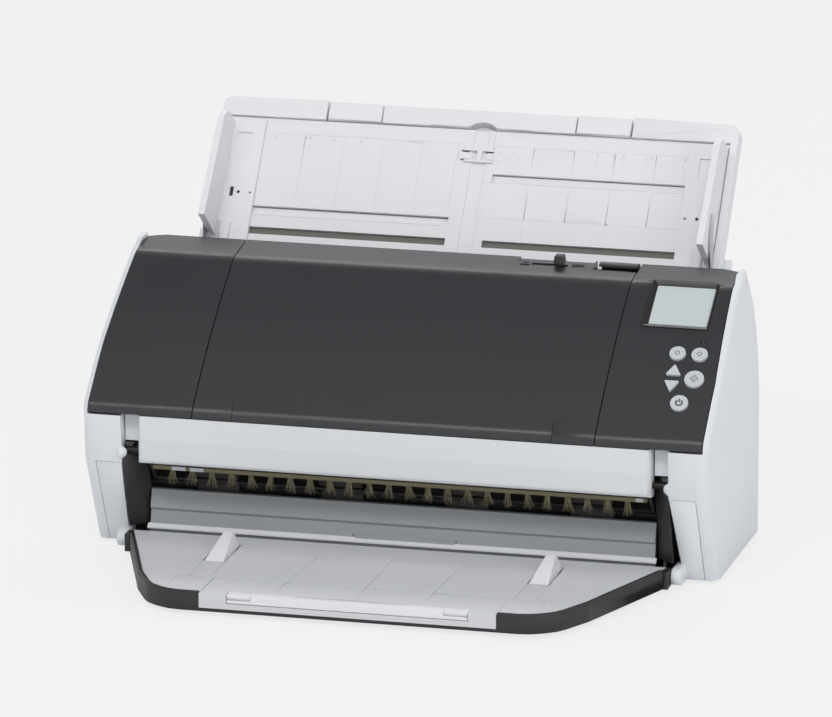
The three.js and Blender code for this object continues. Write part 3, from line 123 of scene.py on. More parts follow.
def moulded(name, base, roughness, grain_mm=0.25, depth_mm=0.02, drift=0.03, ior=1.52):
    """Etched, moulded plastic: base colour, grain size and depth, and how far the shade drifts."""
    material, tree = new_tree(name)
    place = add(tree, "ShaderNodeTexCoord").outputs["Object"]
    clouds = add(tree, "ShaderNodeTexNoise", {"Vector": place, "Scale": 1000 / CLOUD_MM, "Detail": 2.0})
    grain = add(tree, "ShaderNodeTexNoise",
                {"Vector": place, "Scale": 1000 / (grain_mm * COARSER), "Detail": 4.0, "Roughness": 0.6})
    shine = add(tree, "ShaderNodeTexNoise", {"Vector": place, "Scale": 1000 / SHINE_MM, "Detail": 3.0})
    light, dark = (tuple(min(1.0, c * k) for c in colour(base)[:3]) + (1.0,) for k in (1 + drift, 1 - drift))
    shade = add(tree, "ShaderNodeMix", {0: clouds.outputs["Fac"], 6: dark, 7: light}, data_type="RGBA")
    speck = add(tree, "ShaderNodeMapRange",
                {"Value": grain.outputs["Fac"], "To Min": 1 - drift, "To Max": 1 + drift})
    tone = add(tree, "ShaderNodeVectorMath", {0: shade.outputs[2], 1: speck.outputs["Result"]},
               operation="MULTIPLY")
    gloss = add(tree, "ShaderNodeMapRange",
                {"Value": shine.outputs["Fac"], "From Min": 0.3, "From Max": 0.7,
                 "To Min": roughness - SHINE_DRIFT, "To Max": roughness + SHINE_DRIFT})
    bump = add(tree, "ShaderNodeBump",
               {"Height": grain.outputs["Fac"], "Strength": 0.35, "Distance": mm(depth_mm * COARSER)})
    shader = add(tree, "ShaderNodeBsdfPrincipled",
                 {"Base Color": tone.outputs["Vector"], "Roughness": gloss.outputs["Result"],
                  "Normal": bump.outputs["Normal"]})
    shader.inputs["IOR"].default_value = ior
    add(tree, "ShaderNodeOutputMaterial", {"Surface": shader.outputs["BSDF"]})
    return material


# The etched body: broad faces glow softly and mirror no lamp.
WHITE_ABS = moulded("moulded ABS, white-grey, etched", "#E2E5E8", 0.42)
# A finer etch on the panel that faces the user: smoother, with the grain only felt.
PANEL_ABS = moulded("moulded ABS, white, fine etch", "#DCDEDF", 0.36, 0.15, 0.01)
# The black cover is the shiniest large piece: it draws the softbox as a line along its lip.
BLACK_ABS = moulded("moulded ABS, black, etched", "#2E2F32", 0.33, 0.22, 0.015, 0.05)
# Spark erosion leaves a coarser grain: the frame looks dull and a little dusty.
FRAME_ABS = moulded("moulded ABS, black frame, spark-eroded", "#262627", 0.46, 0.30, 0.03, 0.06)
# Sheet guides are finely etched so that paper slides. The exit wall is white plastic painted mid grey:
# painted shade, as it stands in the shaded bay under the cover. The guides inside are dark.
SHADED_WALL_ABS = moulded("moulded ABS, white wall in painted shade, mid grey", "#989C9F", 0.40, 0.20, 0.01)
# The dark one is also painted shade: dark discs in the guides' holes and a dark strip under the paper clip's
# slits.
DARK_GUIDE_AND_SHADE = moulded("moulded ABS, dark sheet guide", "#24221F", 0.45, 0.25, 0.02, 0.06)
# Tray and stacker are pale and even, so that the scored lines carry the shading.
TRAY_ABS = moulded("moulded ABS, pale tray, fine etch", "#E6E6E8", 0.44, 0.20, 0.012, 0.02)
# The stacker's floor and extension take a darker copy of the tray's plastic.
STACKER_ABS = moulded("moulded ABS, stacker floor, fine etch", "#D3D4D6", 0.44, 0.20, 0.012, 0.02)
# Painted buttons are smoother than their surround and catch a small soft highlight.
BUTTON_PC = moulded("moulded polycarbonate button, satin paint", "#C6C9CB", 0.33, 0.10, 0.005, 0.02)
# Gears are natural, a slightly waxy cream; the sockets are plain black nylon, rather matt.
POM_GEAR = moulded("moulded acetal, natural", "#DAD6C6", 0.38, 0.30, 0.01)
SOCKET_PA = moulded("moulded nylon socket, black", "#1B1B1C", 0.50, 0.30, 0.02, 0.05)
print("plastics mixed:", len(bpy.data.materials))

# %% [markdown]
# ## Rubber
# Feet and roller tyres are moulded, and the tyres are then ground. Rubber reflects little and
# evenly, with a dusty bloom. A velvet shader could show the bloom, but at this size a high
# roughness and a slightly patchy shade read the same, so the plastic's recipe is used again.

# %% Rubber
# Ground, so it grips: near black, with no highlight at all.
TYRE_RUBBER = moulded("ground rubber tyre", "#2C2926", 0.72, 0.5, 0.05, 0.10, 1.50)
# Left as it came from the mould, grey so that it leaves no marks on the desk.
FOOT_RUBBER = moulded("moulded rubber foot", "#6E706C", 0.78, 0.6, 0.04, 0.08, 1.50)
# A belt is polished by its pulleys: black with a faint sheen.
BELT_RUBBER = moulded("moulded neoprene belt", "#1A1A1B", 0.66, 0.6, 0.05, 0.08, 1.50)
print("plastics and rubbers mixed:", len(bpy.data.materials))

# %% [markdown]
# ## Sheet steel
# The chassis plates and the base are zinc-plated steel, rolled and pressed. Rolling leaves fine
# lines along one direction, which stretch the highlights, and the plating is slightly mottled. The
# shader's anisotropy could stretch the highlights too, but it needs a direction on every face.
# Stretched noise in bump and roughness needs none, so it is used. The hinge pins are turned and
# blackened, and the same lines in dark grey serve for them.

# %% Plated steel
ROLLED_MM = 0.8      # real rolling lines are finer; these are as coarse as they need to show
MOTTLE_MM = 18.0
LINE_STRETCH = (0.04, 1.0, 1.0)
LINE_DRIFT = 0.08


def plated_steel(name, base, roughness):
    """Plated or blackened steel: fine lines along X in roughness and bump, and a mottled shade."""
    material, tree = new_tree(name)
    place = add(tree, "ShaderNodeTexCoord").outputs["Object"]
    stretch = add(tree, "ShaderNodeMapping", {"Vector": place, "Scale": LINE_STRETCH})
    lines = add(tree, "ShaderNodeTexNoise",
                {"Vector": stretch.outputs["Vector"], "Scale": 1000 / ROLLED_MM, "Detail": 3.0})
    mottle = add(tree, "ShaderNodeTexNoise", {"Vector": place, "Scale": 1000 / MOTTLE_MM, "Detail": 4.0})
    dark = tuple(c * 0.85 for c in colour(base)[:3]) + (1.0,)
    shade = add(tree, "ShaderNodeMix", {0: mottle.outputs["Fac"], 6: dark, 7: colour(base)}, data_type="RGBA")
    gloss = add(tree, "ShaderNodeMapRange",
                {"Value": lines.outputs["Fac"], "To Min": roughness - LINE_DRIFT,
                 "To Max": roughness + LINE_DRIFT})
    bump = add(tree, "ShaderNodeBump",
               {"Height": lines.outputs["Fac"], "Strength": 0.3, "Distance": mm(0.05)})
    shader = add(tree, "ShaderNodeBsdfPrincipled",
                 {"Base Color": shade.outputs[2], "Roughness": gloss.outputs["Result"],
                  "Normal": bump.outputs["Normal"], "Metallic": 1.0})
    add(tree, "ShaderNodeOutputMaterial", {"Surface": shader.outputs["BSDF"]})
    return material


# Pale and brushed-looking: highlights stretch across the rolling lines.
PLATED_STEEL = plated_steel("zinc-plated rolled steel", "#C4C6C8", 0.34)
# Black oxide swallows most of the light: a dark, soft metal.
TURNED_STEEL = plated_steel("turned steel pin, black oxide", "#3C3B3A", 0.42)
print("rolling lines every", ROLLED_MM, "mm")

# %% [markdown]
# ## Glass
# The scan glasses are clear float glass with polished edges. They could be left perfectly smooth,
# but a few faint wipe marks in the roughness are what lets the eye find the glass at all.

# %% Float glass
WIPE_MM = 30.0


def float_glass(name):
    """Clear glass with a slight green tint and a few faint wipe marks in its roughness."""
    material, tree = new_tree(name)
    place = add(tree, "ShaderNodeTexCoord").outputs["Object"]
    wipes = add(tree, "ShaderNodeTexNoise", {"Vector": place, "Scale": 1000 / WIPE_MM, "Detail": 5.0})
    gloss = add(tree, "ShaderNodeMapRange", {"Value": wipes.outputs["Fac"], "To Min": 0.02, "To Max": 0.08})
    shader = add(tree, "ShaderNodeBsdfPrincipled",
                 {"Base Color": colour("#E6F0EC"), "Roughness": gloss.outputs["Result"],
                  "Transmission Weight": 1.0})
    shader.inputs["IOR"].default_value = 1.52
    add(tree, "ShaderNodeOutputMaterial", {"Surface": shader.outputs["BSDF"]})
    return material


SCAN_GLASS = float_glass("float glass, polished edges")
print("made:", SCAN_GLASS.name)

# %% [markdown]
# ## Display film
# The display is a matt film over a switched-off liquid crystal cell: a pale grey-green with a faint
# grid of dots. The dots could be modelled or painted, but cells of an even Voronoi pattern give the
# grid from one node. Real dots are about 0.3 mm apart; here they are three times that, to show.

# %% Display film
PIXEL_MM = 0.9
FILM_CLOUD_MM = 25.0


def display_film(name):
    """A reflective display that is off: pale, with a coarse hint of its dot grid."""
    material, tree = new_tree(name)
    place = add(tree, "ShaderNodeTexCoord").outputs["Object"]
    grid = add(tree, "ShaderNodeTexVoronoi", {"Vector": place, "Scale": 1000 / PIXEL_MM, "Randomness": 0.0})
    clouds = add(tree, "ShaderNodeTexNoise",
                 {"Vector": place, "Scale": 1000 / FILM_CLOUD_MM, "Detail": 2.0})
    dots = add(tree, "ShaderNodeMapRange",
               {"Value": grid.outputs["Distance"], "To Min": 1.02, "To Max": 0.97})
    shade = add(tree, "ShaderNodeMix", {0: clouds.outputs["Fac"], 6: colour("#C3CCCB"), 7: colour("#CDD5D4")},
                data_type="RGBA")
    tone = add(tree, "ShaderNodeVectorMath", {0: shade.outputs[2], 1: dots.outputs["Result"]},
               operation="MULTIPLY")
    shader = add(tree, "ShaderNodeBsdfPrincipled", {"Base Color": tone.outputs["Vector"], "Roughness": 0.28})
    shader.inputs["Coat Weight"].default_value = 0.3
    shader.inputs["Coat Roughness"].default_value = 0.15
    add(tree, "ShaderNodeOutputMaterial", {"Surface": shader.outputs["BSDF"]})
    return material


DISPLAY_FILM = display_film("matt film over a reflective display")
print("display dots every", PIXEL_MM, "mm")

# %% [markdown]
# ## Circuit board
# The board is copper and glass fibre under green lacquer, and the copper shows through as lighter
# tracks. A real layout would have to be drawn. The board is only glimpsed, so a brick pattern with
# pale joints stands for the tracks.

# %% Circuit board
TRACK_MM = 6.0


def circuit_board(name):
    """Green solder lacquer, lighter where copper runs beneath it."""
    material, tree = new_tree(name)
    place = add(tree, "ShaderNodeTexCoord").outputs["Object"]
    tracks = add(tree, "ShaderNodeTexBrick",
                 {"Vector": place, "Scale": 1000 / TRACK_MM, "Mortar Size": 0.08,
                  "Color1": colour("#1F5B36"), "Color2": colour("#246B3E"), "Mortar": colour("#3B8A54")})
    shader = add(tree, "ShaderNodeBsdfPrincipled", {"Base Color": tracks.outputs["Color"], "Roughness": 0.30})
    shader.inputs["Coat Weight"].default_value = 0.5
    add(tree, "ShaderNodeOutputMaterial", {"Surface": shader.outputs["BSDF"]})
    return material


BOARD_LACQUER = circuit_board("solder lacquer over fibreglass")
print("tracks every", TRACK_MM, "mm")

# %% [markdown]
# ## Bristles
# The brush that drains static from the sheets is made of conductive fibres, a dull brown. Painted
# streaks on a flat strip could stand for them, but the fibres are modelled further on, so the
# material only has to vary a little from tuft to tuft. Noise about as wide as a tuft does that.

# %% Conductive fibre
TUFT_SHADE_MM = 8.0


def fibre(name):
    """Dull synthetic fibre: brown, changing from tuft to tuft, with a soft sheen."""
    material, tree = new_tree(name)
    place = add(tree, "ShaderNodeTexCoord").outputs["Object"]
    tufts = add(tree, "ShaderNodeTexNoise", {"Vector": place, "Scale": 1000 / TUFT_SHADE_MM, "Detail": 3.0})
    shade = add(tree, "ShaderNodeMix", {0: tufts.outputs["Fac"], 6: colour("#4C4636"), 7: colour("#8A8062")},
                data_type="RGBA")
    shader = add(tree, "ShaderNodeBsdfPrincipled", {"Base Color": shade.outputs[2], "Roughness": 0.62})
    shader.inputs["Sheen Weight"].default_value = 0.2
    add(tree, "ShaderNodeOutputMaterial", {"Surface": shader.outputs["BSDF"]})
    return material


BRUSH_FIBRE = fibre("conductive fibre tufts on a strip")
print("finishes so far:", len(bpy.data.materials))

# %% [markdown]
# ## Which piece has which finish
# The model names its pieces, so the finishes could be set one by one in Blender's material panel.
# A table by finish is easier to check: it shows at a glance what is moulded from the same plastic.

# %% Hand out the finishes
FINISHES = {
    WHITE_ABS: ["left_side_cover", "right_side_cover", "left_lower_pillar", "right_lower_pillar",
                "rear_cover"],
    PANEL_ABS: ["front_panel"],
    BLACK_ABS: ["centre_cover", "left_end_cover", "control_panel", "release_tab", "feed_mode_knob"],
    FRAME_ABS: ["left_riser", "right_riser", "stacker_frame"],
    # The exit wall's mid grey is painted shade.
    SHADED_WALL_ABS: ["exit_wall"],
    DARK_GUIDE_AND_SHADE: ["lower_guide", "upper_guide"],
    TRAY_ABS: ["tray_shell", "tray_plate", "outer_extension", "inner_extension", "left_guide", "right_guide",
               "stopper", "left_wedge", "right_wedge"],
    STACKER_ABS: ["stacker_floor", "stacker_extension"],
    BUTTON_PC: ["menu_button", "stop_button", "scan_button", "power_button", "up_button", "down_button",
                "check_lamp"],
    DISPLAY_FILM: ["display"],
    SCAN_GLASS: ["lower_glass", "upper_glass"],
    TYRE_RUBBER: ["pick_shaft", "feed_shaft", "eject_shaft", "brake_shaft", "pinch_shaft"],
    PLATED_STEEL: ["left_chassis_plate", "right_chassis_plate", "base_pan", "feed_motor"],
    TURNED_STEEL: ["left_hinge_pin", "right_hinge_pin"],
    POM_GEAR: ["motor_pulley", "guide_pinion"],
    BELT_RUBBER: ["drive_belt"],
    BOARD_LACQUER: ["main_board"],
    SOCKET_PA: ["power_inlet", "data_socket"],
    FOOT_RUBBER: ["front_left_foot", "front_right_foot", "rear_left_foot", "rear_right_foot"],
    BRUSH_FIBRE: ["anti_static_brush"],
}
for material, names in FINISHES.items():
    for name in names:
        slots = NODES[name].data.materials
        slots.clear()
        slots.append(material)
dressed = {name for names in FINISHES.values() for name in names}
print("nodes with no finish:", sorted(set(NODES) - dressed))

# %% [markdown]
# ## Soft edges
# No moulding has a knife edge: tools are cut with a radius, and that radius catches the light. It
# could be faked in the shader, but only real rounding shows in the outline. A bevel on every edge
# sharper than 30 degrees gives it, and hardened normals keep the flat faces flat.

# %% Round the edges
EDGE_MM = {"left_side_cover": 1.2, "right_side_cover": 1.2, "left_lower_pillar": 0.8,
           "right_lower_pillar": 0.8, "tray_shell": 0.9, "front_panel": 0.5, "stacker_frame": 0.8,
           "left_wedge": 0.6, "right_wedge": 0.6}
USUAL_EDGE_MM = 0.35
NOT_ROUNDED = {"anti_static_brush", "drive_belt", "main_board", "lower_glass", "upper_glass"}
WELD_MM = 0.002
SHARP_OVER = math.radians(30)


def soften(piece, edge_mm, segments=2, harden=True):
    """Joins the piece's corners and rounds its sharp edges."""
    weld = piece.modifiers.new("weld", "WELD")
    weld.merge_threshold = mm(WELD_MM)
    bevel = piece.modifiers.new("rounding", "BEVEL")
    bevel.width = mm(edge_mm)
    bevel.segments = segments
    bevel.limit_method = "ANGLE"
    bevel.angle_limit = SHARP_OVER
    bevel.harden_normals = harden


for name, piece in NODES.items():
    piece.data.shade_smooth()
    if name not in NOT_ROUNDED:
        soften(piece, EDGE_MM.get(name, USUAL_EDGE_MM))
print("pieces with rounded edges:", len(NODES) - len(NOT_ROUNDED))

# %% [markdown]
# ## Tools for the finer pieces
# The model is made of flat facets, which is right for a solid that has to fit and move. Where the eye needs
# more, such as a groove, a seam or a domed button, a finer piece takes the node's place. It rides on the same
# body, so that it moves with it. The body is looked up in the model's own record, so that it can't be
# mistyped.

# %% Where each node belongs
RECORD = frame["record"]
BODY_OF = {node: body for body, nodes in RECORD["behaviour"]["bodies"].items() for node in nodes}
print("bodies:", len(set(BODY_OF.values())))

# %% [markdown]
# Details are easiest to draw flat, on the surface that carries them: the slope of the tray, the
# slope of the cover, or the level floor of the stacker. They could be drawn level and turned with
# a rotation, but a function that turns a place on the surface, and a height above it, into a place
# in the room also follows the cover's crown.

# %% Places on the machine's slopes
MIDDLE_Y_MM = -61.414
TRAY_SLOPE = math.radians(52.7)
TRAY_FOOT_MM = (163 + MIDDLE_Y_MM, 158.0)
NOSE_MM = (5.5 + MIDDLE_Y_MM, 97.5)
BROW_MM = (95 + MIDDLE_Y_MM, 164.0)
CROWN_MM = 3.0
COVER_SLOPE = math.atan2(BROW_MM[1] - NOSE_MM[1], BROW_MM[0] - NOSE_MM[0])
COVER_RUN_MM = math.hypot(BROW_MM[1] - NOSE_MM[1], BROW_MM[0] - NOSE_MM[0])


def on_tray(x, run, rise):
    """A place on the tray's face: across, up its slope, and off its face."""
    return mm(x, TRAY_FOOT_MM[0] + run * math.cos(TRAY_SLOPE) - rise * math.sin(TRAY_SLOPE),
              TRAY_FOOT_MM[1] + run * math.sin(TRAY_SLOPE) + rise * math.cos(TRAY_SLOPE))


def on_cover(middle):
    """A function that places points on a flat that touches the crowned cover at one run up its slope."""
    share = middle / COVER_RUN_MM
    bulge = CROWN_MM * 4 * share * (1 - share)
    angle = COVER_SLOPE + math.atan(CROWN_MM * 4 * (1 - 2 * share) / COVER_RUN_MM)
    y = NOSE_MM[0] + middle * math.cos(COVER_SLOPE) - bulge * math.sin(COVER_SLOPE)
    z = NOSE_MM[1] + middle * math.sin(COVER_SLOPE) + bulge * math.cos(COVER_SLOPE)

    def place(x, run, rise):
        along = run - middle
        return mm(x, y + along * math.cos(angle) - rise * math.sin(angle),
                  z + along * math.sin(angle) + rise * math.cos(angle))
    return place


def on_level(x, y, z):
    """A place over the desk, with y counted from the cover's front lip."""
    return mm(x, y + MIDDLE_Y_MM, z)


def facing(x, z, y):
    """The same, for an outline drawn on an upright face: across, up, and back from the lip."""
    return mm(x, y + MIDDLE_Y_MM, z)


def from_side(y, z, x):
    """The same, for an outline seen from the side: back from the lip, up, and across."""
    return mm(x, y + MIDDLE_Y_MM, z)


print("the cover slopes", round(math.degrees(COVER_SLOPE), 1), "degrees over", round(COVER_RUN_MM, 1), "mm")

# %% [markdown]
# ## Outlines, prisms and lofts
# A prism is an outline given a thickness; a loft is a skin over a row of rings. Almost every moulded
# detail here is one of the two. They could be drawn by hand in edit mode. Written out as outlines
# with real sizes, they can be measured, changed and built again.


# %% Outlines
def rounded(a0, a1, b0, b1, radius=0.0, steps=4):
    """A rectangle with rounded corners, as points in order."""
    if not radius:
        return [(a0, b0), (a1, b0), (a1, b1), (a0, b1)]
    points = []
    corners = [(a1 - radius, b0 + radius, -90), (a1 - radius, b1 - radius, 0),
               (a0 + radius, b1 - radius, 90), (a0 + radius, b0 + radius, 180)]
    for a, b, start in corners:
        for step in range(steps + 1):
            angle = math.radians(start + 90 * step / steps)
            points.append((a + radius * math.cos(angle), b + radius * math.sin(angle)))
    return points


def disc(a, b, radius, sides=32):
    """A circle as points in order."""
    turns = [2 * math.pi * side / sides for side in range(sides)]
    return [(a + radius * math.cos(turn), b + radius * math.sin(turn)) for turn in turns]


def stroke(start, end, width):
    """A thin rectangle along a line."""
    (a0, b0), (a1, b1) = start, end
    length = math.hypot(a1 - a0, b1 - b0)
    da, db = -(b1 - b0) / length * width / 2, (a1 - a0) / length * width / 2
    return [(a0 + da, b0 + db), (a0 - da, b0 - db), (a1 - da, b1 - db), (a1 + da, b1 + db)]


def either_side(side, near, far, b0, b1, radius=0.0):
    """A rectangle from near to far of the middle, on the left (-1) or on the right (1)."""
    return rounded(*sorted((side * near, side * far)), b0, b1, radius)


# %% Prisms and lofts
def loft(bm, rings, closed=False):
    """Joins rings of the same count with faces; caps both ends, or joins the last to the first."""
    rows = [[bm.verts.new(point) for point in ring] for ring in rings]
    pairs = list(zip(rows, rows[1:])) + ([(rows[-1], rows[0])] if closed else [])
    for lower, upper in pairs:
        for side in range(len(lower)):
            bm.faces.new((lower[side - 1], lower[side], upper[side], upper[side - 1]))
    if not closed:
        bm.faces.new(rows[0])
        bm.faces.new(rows[-1][::-1])


def prism(bm, outline, low, high, place):
    """An outline given a thickness, laid down by a placing function."""
    loft(bm, [[place(a, b, c) for a, b in outline] for c in (low, high)])


# %% [markdown]
# A finer piece needs more than its shape: outward faces, soft shading where it bends gently, a
# finish, a body to ride on and a material slot. All that could be repeated for each piece. One
# function does it the same way for all, and prints what it made.

# %% Make a piece
SMOOTH_UNDER = math.radians(46)


def finish_mesh(bm, name):
    """Turns a bmesh into a mesh with outward faces, smooth where it bends gently."""
    bmesh.ops.recalc_face_normals(bm, faces=bm.faces[:])
    mesh = bpy.data.meshes.new(name)
    bm.to_mesh(mesh)
    bm.free()
    mesh.shade_smooth()
    mesh.set_sharp_from_angle(angle=SMOOTH_UNDER)
    return mesh


def new_piece(name, bm, material, body, replaces=()):
    """A new piece from a bmesh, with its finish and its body."""
    piece = bpy.data.objects.new(name, finish_mesh(bm, name))
    bpy.context.scene.collection.objects.link(piece)
    piece.data.materials.append(material)
    if replaces:
        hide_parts(*replaces)
    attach(piece, body)
    print(name, "made:", len(piece.data.polygons), "faces")
    return piece


# %% [markdown]
# ## Carving
# A groove could be painted as a dark line, but paint doesn't darken as the light moves, so grooves
# are cut with a boolean. The node's mesh is copied, its edges are rounded first, and then the
# cutters are taken away, so that a fine groove doesn't upset the rounding. The boolean makes new
# faces, so the flat ones are kept flat by weighted normals at the end. A cutter reaches a little
# past the surface that it cuts, because two faces in the same place confuse the boolean.

# %% Carve a copy of a node
PAST = 1.0   # how far a cutter reaches past the surface, in mm


def carve(node, cutters, edge_mm, segments=2):
    """Replaces a node by a copy with rounded edges and the cutters taken away."""
    piece = bpy.data.objects.new(f"{node}_fine", NODES[node].data.copy())
    bpy.context.scene.collection.objects.link(piece)
    soften(piece, edge_mm, segments, harden=False)
    tool = bpy.data.objects.new(f"{node}_cutters", finish_mesh(cutters, f"{node}_cutters"))
    bpy.context.scene.collection.objects.link(tool)
    cut = piece.modifiers.new("grooves", "BOOLEAN")
    cut.operation = "DIFFERENCE"
    cut.solver = "EXACT"
    cut.use_self = True
    cut.object = tool
    made = bpy.data.meshes.new_from_object(piece.evaluated_get(bpy.context.evaluated_depsgraph_get()))
    piece.modifiers.clear()
    piece.data = made
    bpy.data.objects.remove(tool)
    made.shade_smooth()
    made.set_sharp_from_angle(angle=SMOOTH_UNDER)
    flat = piece.modifiers.new("flat faces", "WEIGHTED_NORMAL")
    flat.keep_sharp = True
    flat.weight = 100
    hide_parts(node)
    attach(piece, BODY_OF[node])
    print(node, "carved:", len(made.polygons), "faces")


# %% [markdown]
# ## The display
# The display sits in a sloping black surround: its outer lip catches a thin line of light, and its
# inner sides fall away to a pale glass. The surround could be a bevelled frame, but its slopes
# differ on every side. A ring lofted through six rectangles gives that section in one piece.

# %% Surround of the display
DISPLAY_MIDDLE = 95.3
panel_flat = on_cover(DISPLAY_MIDDLE)
SURROUND = [
    # left, right, low run, high run, corner, height: up the outside, over the lip and down inside
    (135.0, 174.9, 76.1, 114.5, 1.2, -1.45),
    (135.0, 174.9, 76.1, 114.5, 1.2, 0.00),
    (135.4, 174.6, 76.5, 114.1, 1.0, 0.22),
    (135.9, 174.3, 77.0, 113.6, 0.9, -0.10),
    (138.5, 173.5, 79.3, 110.4, 0.5, -1.15),
    (138.5, 173.5, 79.3, 110.4, 0.5, -1.45),
]
BEZEL_ABS = moulded("moulded ABS, black, fine etch, display surround", "#242424", 0.34, 0.15, 0.01, 0.04)
bm = bmesh.new()
loft(bm, [[panel_flat(a, b, rise) for a, b in rounded(*sides, radius)]
          for *sides, radius, rise in SURROUND], closed=True)
new_piece("display_surround", bm, BEZEL_ABS, "feed_cover")

# %% Film in the surround
FILM_SIDES, FILM_LOW, FILM_TOP = (137.6, 174.3, 78.5, 111.2), -1.45, -1.24
bm = bmesh.new()
prism(bm, rounded(*FILM_SIDES, 0.5), FILM_LOW, FILM_TOP, panel_flat)
new_piece("display_film", bm, DISPLAY_FILM, "feed_cover", ["display"])

# %% [markdown]
# ## Buttons
# The buttons are moulded with a soft shoulder and a slightly dished top, then painted a satin grey. A
# sculpted cylinder would do, but each has a different size. A row of circles, each a share of the
# button's radius at its own height, serves them all: the first ones step up the shoulder, and the
# last ones dip the top.

# %% Round buttons
SHOULDER = [(1.0, -3.0), (1.0, 1.15), (0.985, 1.38), (0.94, 1.56), (0.88, 1.62), (0.80, 1.58), (0.50, 1.50),
            (0.22, 1.48)]
PANEL_SEAM_X = 122.0   # the buttons are measured from the seam on the left of the control panel
ROUND_BUTTONS = {
    # name: across from the seam, run up the slope, radius
    "menu_button": (38.6, 56.6, 4.9), "stop_button": (51.8, 56.6, 4.9),
    "scan_button": (51.8, 38.4, 5.9), "power_button": (45.9, 20.7, 5.4),
}
for name, (x, run, radius) in ROUND_BUTTONS.items():
    flat = on_cover(run)
    bm = bmesh.new()
    loft(bm, [[flat(a, b, rise) for a, b in disc(PANEL_SEAM_X + x, run, radius * share, 40)]
              for share, rise in SHOULDER])
    new_piece(f"{name}_cap", bm, BUTTON_PC, BODY_OF[name], [name])

# %% [markdown]
# The up and down buttons are triangles with blunt tips. A three-sided cylinder would have sharp
# ones, so each corner is replaced by two points, a little way along its two sides.

# %% Arrow buttons
ARROW_BUTTONS = {"up_button": (38.8, 44.4, 1), "down_button": (38.8, 32.2, -1)}
ARROW_SIZE = (4.7, 4.0)
ARROW_TIP_MM = 0.7
ARROW_SHOULDER = [(1.0, -3.0), (1.0, 1.10), (0.97, 1.34), (0.88, 1.50), (0.7, 1.52)]


def triangle(x, run, way, share):
    """A triangle with blunt corners, shrunk to a share of its size."""
    half, tall = (size * share for size in ARROW_SIZE)
    corners = [(x - half, run - way * tall), (x + half, run - way * tall), (x, run + way * tall)]
    points = []
    for index, (a, b) in enumerate(corners):
        for neighbour in (corners[index - 1], corners[(index + 1) % 3]):
            near = ARROW_TIP_MM / math.hypot(neighbour[0] - a, neighbour[1] - b)
            points.append((a + (neighbour[0] - a) * near, b + (neighbour[1] - b) * near))
    return points


for name, (x, run, way) in ARROW_BUTTONS.items():
    flat = on_cover(run)
    bm = bmesh.new()
    loft(bm, [[flat(a, b, rise) for a, b in triangle(PANEL_SEAM_X + x, run, way, share)]
              for share, rise in ARROW_SHOULDER])
    new_piece(f"{name}_cap", bm, BUTTON_PC, BODY_OF[name], [name])

# %% [markdown]
# ## Symbols on the buttons
# The power symbol is printed in dark grey. The start button carries a plain diamond, and the menu
# and stop buttons a small mark, all in a paler ink. Print could be a picture on the button. Here it
# is a very thin shape lying on the button, which keeps its edge crisp at any distance.

# %% Printed marks
# Pad-printed ink lies thin and flat: a matt mark with a clean edge.
PRINT_INK = moulded("pad-printed ink, dark grey", "#26282A", 0.45, 0.10, 0.003, 0.03)
MARK_INK = moulded("pad-printed ink, mid grey", "#7C8083", 0.45, 0.10, 0.003, 0.03)
MARK_LOW, MARK_HIGH = 1.3, 1.66
MARK_WIDTH, START_WIDTH, POWER_WIDTH = 0.38, 0.4, 0.75


def ring_strokes(x, run, radius, width, start, end, count):
    """A ring, or part of one, as short strokes from one angle to another, in degrees."""
    turns = [math.radians(start + (end - start) * step / count) for step in range(count + 1)]
    points = [(x + radius * math.cos(turn), run + radius * math.sin(turn)) for turn in turns]
    return [stroke(*pair, width) for pair in zip(points, points[1:])]


def diamond(x, run, size, width):
    """The four sides of a diamond."""
    tips = [(x, run + size), (x + size, run), (x, run - size), (x - size, run)]
    return [stroke(tips[i - 1], tips[i], width) for i in range(4)]


def bar(x, low, high, width):
    """One upright stroke."""
    return [stroke((x, low), (x, high), width)]


MARKS = {
    # name: the button, its ink, and the strokes round the button's middle
    "power_symbol": ("power_button", PRINT_INK, lambda x, run: ring_strokes(
        x, run - 0.2, 1.9, POWER_WIDTH, 125, 415, 20) + bar(x, run + 0.3, run + 2.4, POWER_WIDTH)),
    "start_diamond": ("scan_button", MARK_INK, lambda x, run: diamond(x, run, 2.3, START_WIDTH)),
    "start_line": ("scan_button", MARK_INK, lambda x, run: bar(x, run - 1.2, run + 1.2, START_WIDTH)),
    "stop_mark": ("stop_button", MARK_INK, lambda x, run: diamond(x, run, 1.6, MARK_WIDTH)),
    "menu_mark": ("menu_button", MARK_INK, lambda x, run: ring_strokes(x, run, 1.3, MARK_WIDTH, 0, 360, 20)),
}
for name, (node, ink, strokes) in MARKS.items():
    x, run = ROUND_BUTTONS[node][:2]
    bm = bmesh.new()
    for outline in strokes(PANEL_SEAM_X + x, run):
        prism(bm, outline, MARK_LOW, MARK_HIGH, on_cover(run))
    new_piece(name, bm, ink, BODY_OF[node])

# %% [markdown]
# ## The check lamp
# Under the display's right corner a small lamp sits behind a smoked lens. It could be given a
# glow, but the machine is off: a smooth, dark dome that mirrors the room is enough to read as one.

# %% Lamp
LAMP_X, LAMP_RUN, LAMP_RADIUS = 52.0, 67.0, 1.2
LENS = [(1.0, -2.5), (1.0, -0.15), (0.8, 0.05), (0.4, 0.15)]
SMOKED_PC = moulded("moulded polycarbonate, smoked lens", "#232425", 0.12, 0.10, 0.001, 0.02)
lamp_flat = on_cover(LAMP_RUN)
bm = bmesh.new()
loft(bm, [[lamp_flat(a, b, rise) for a, b in disc(PANEL_SEAM_X + LAMP_X, LAMP_RUN, LAMP_RADIUS * share, 20)]
          for share, rise in LENS])
new_piece("lamp_lens", bm, SMOKED_PC, "feed_cover", ["check_lamp"])

# %% [markdown]
# ## The black cover
# Two short seams run down the lip where the centre cover's inner frame is clipped in, the feed
# selector's slot lies on a shallow shelf, and the right edge has room for the release tab. Each is
# a real cut, because the lip is the brightest line on the machine and a painted seam would shine
# along with it. A cutter for the lip follows its round side view, a little deeper than the surface.

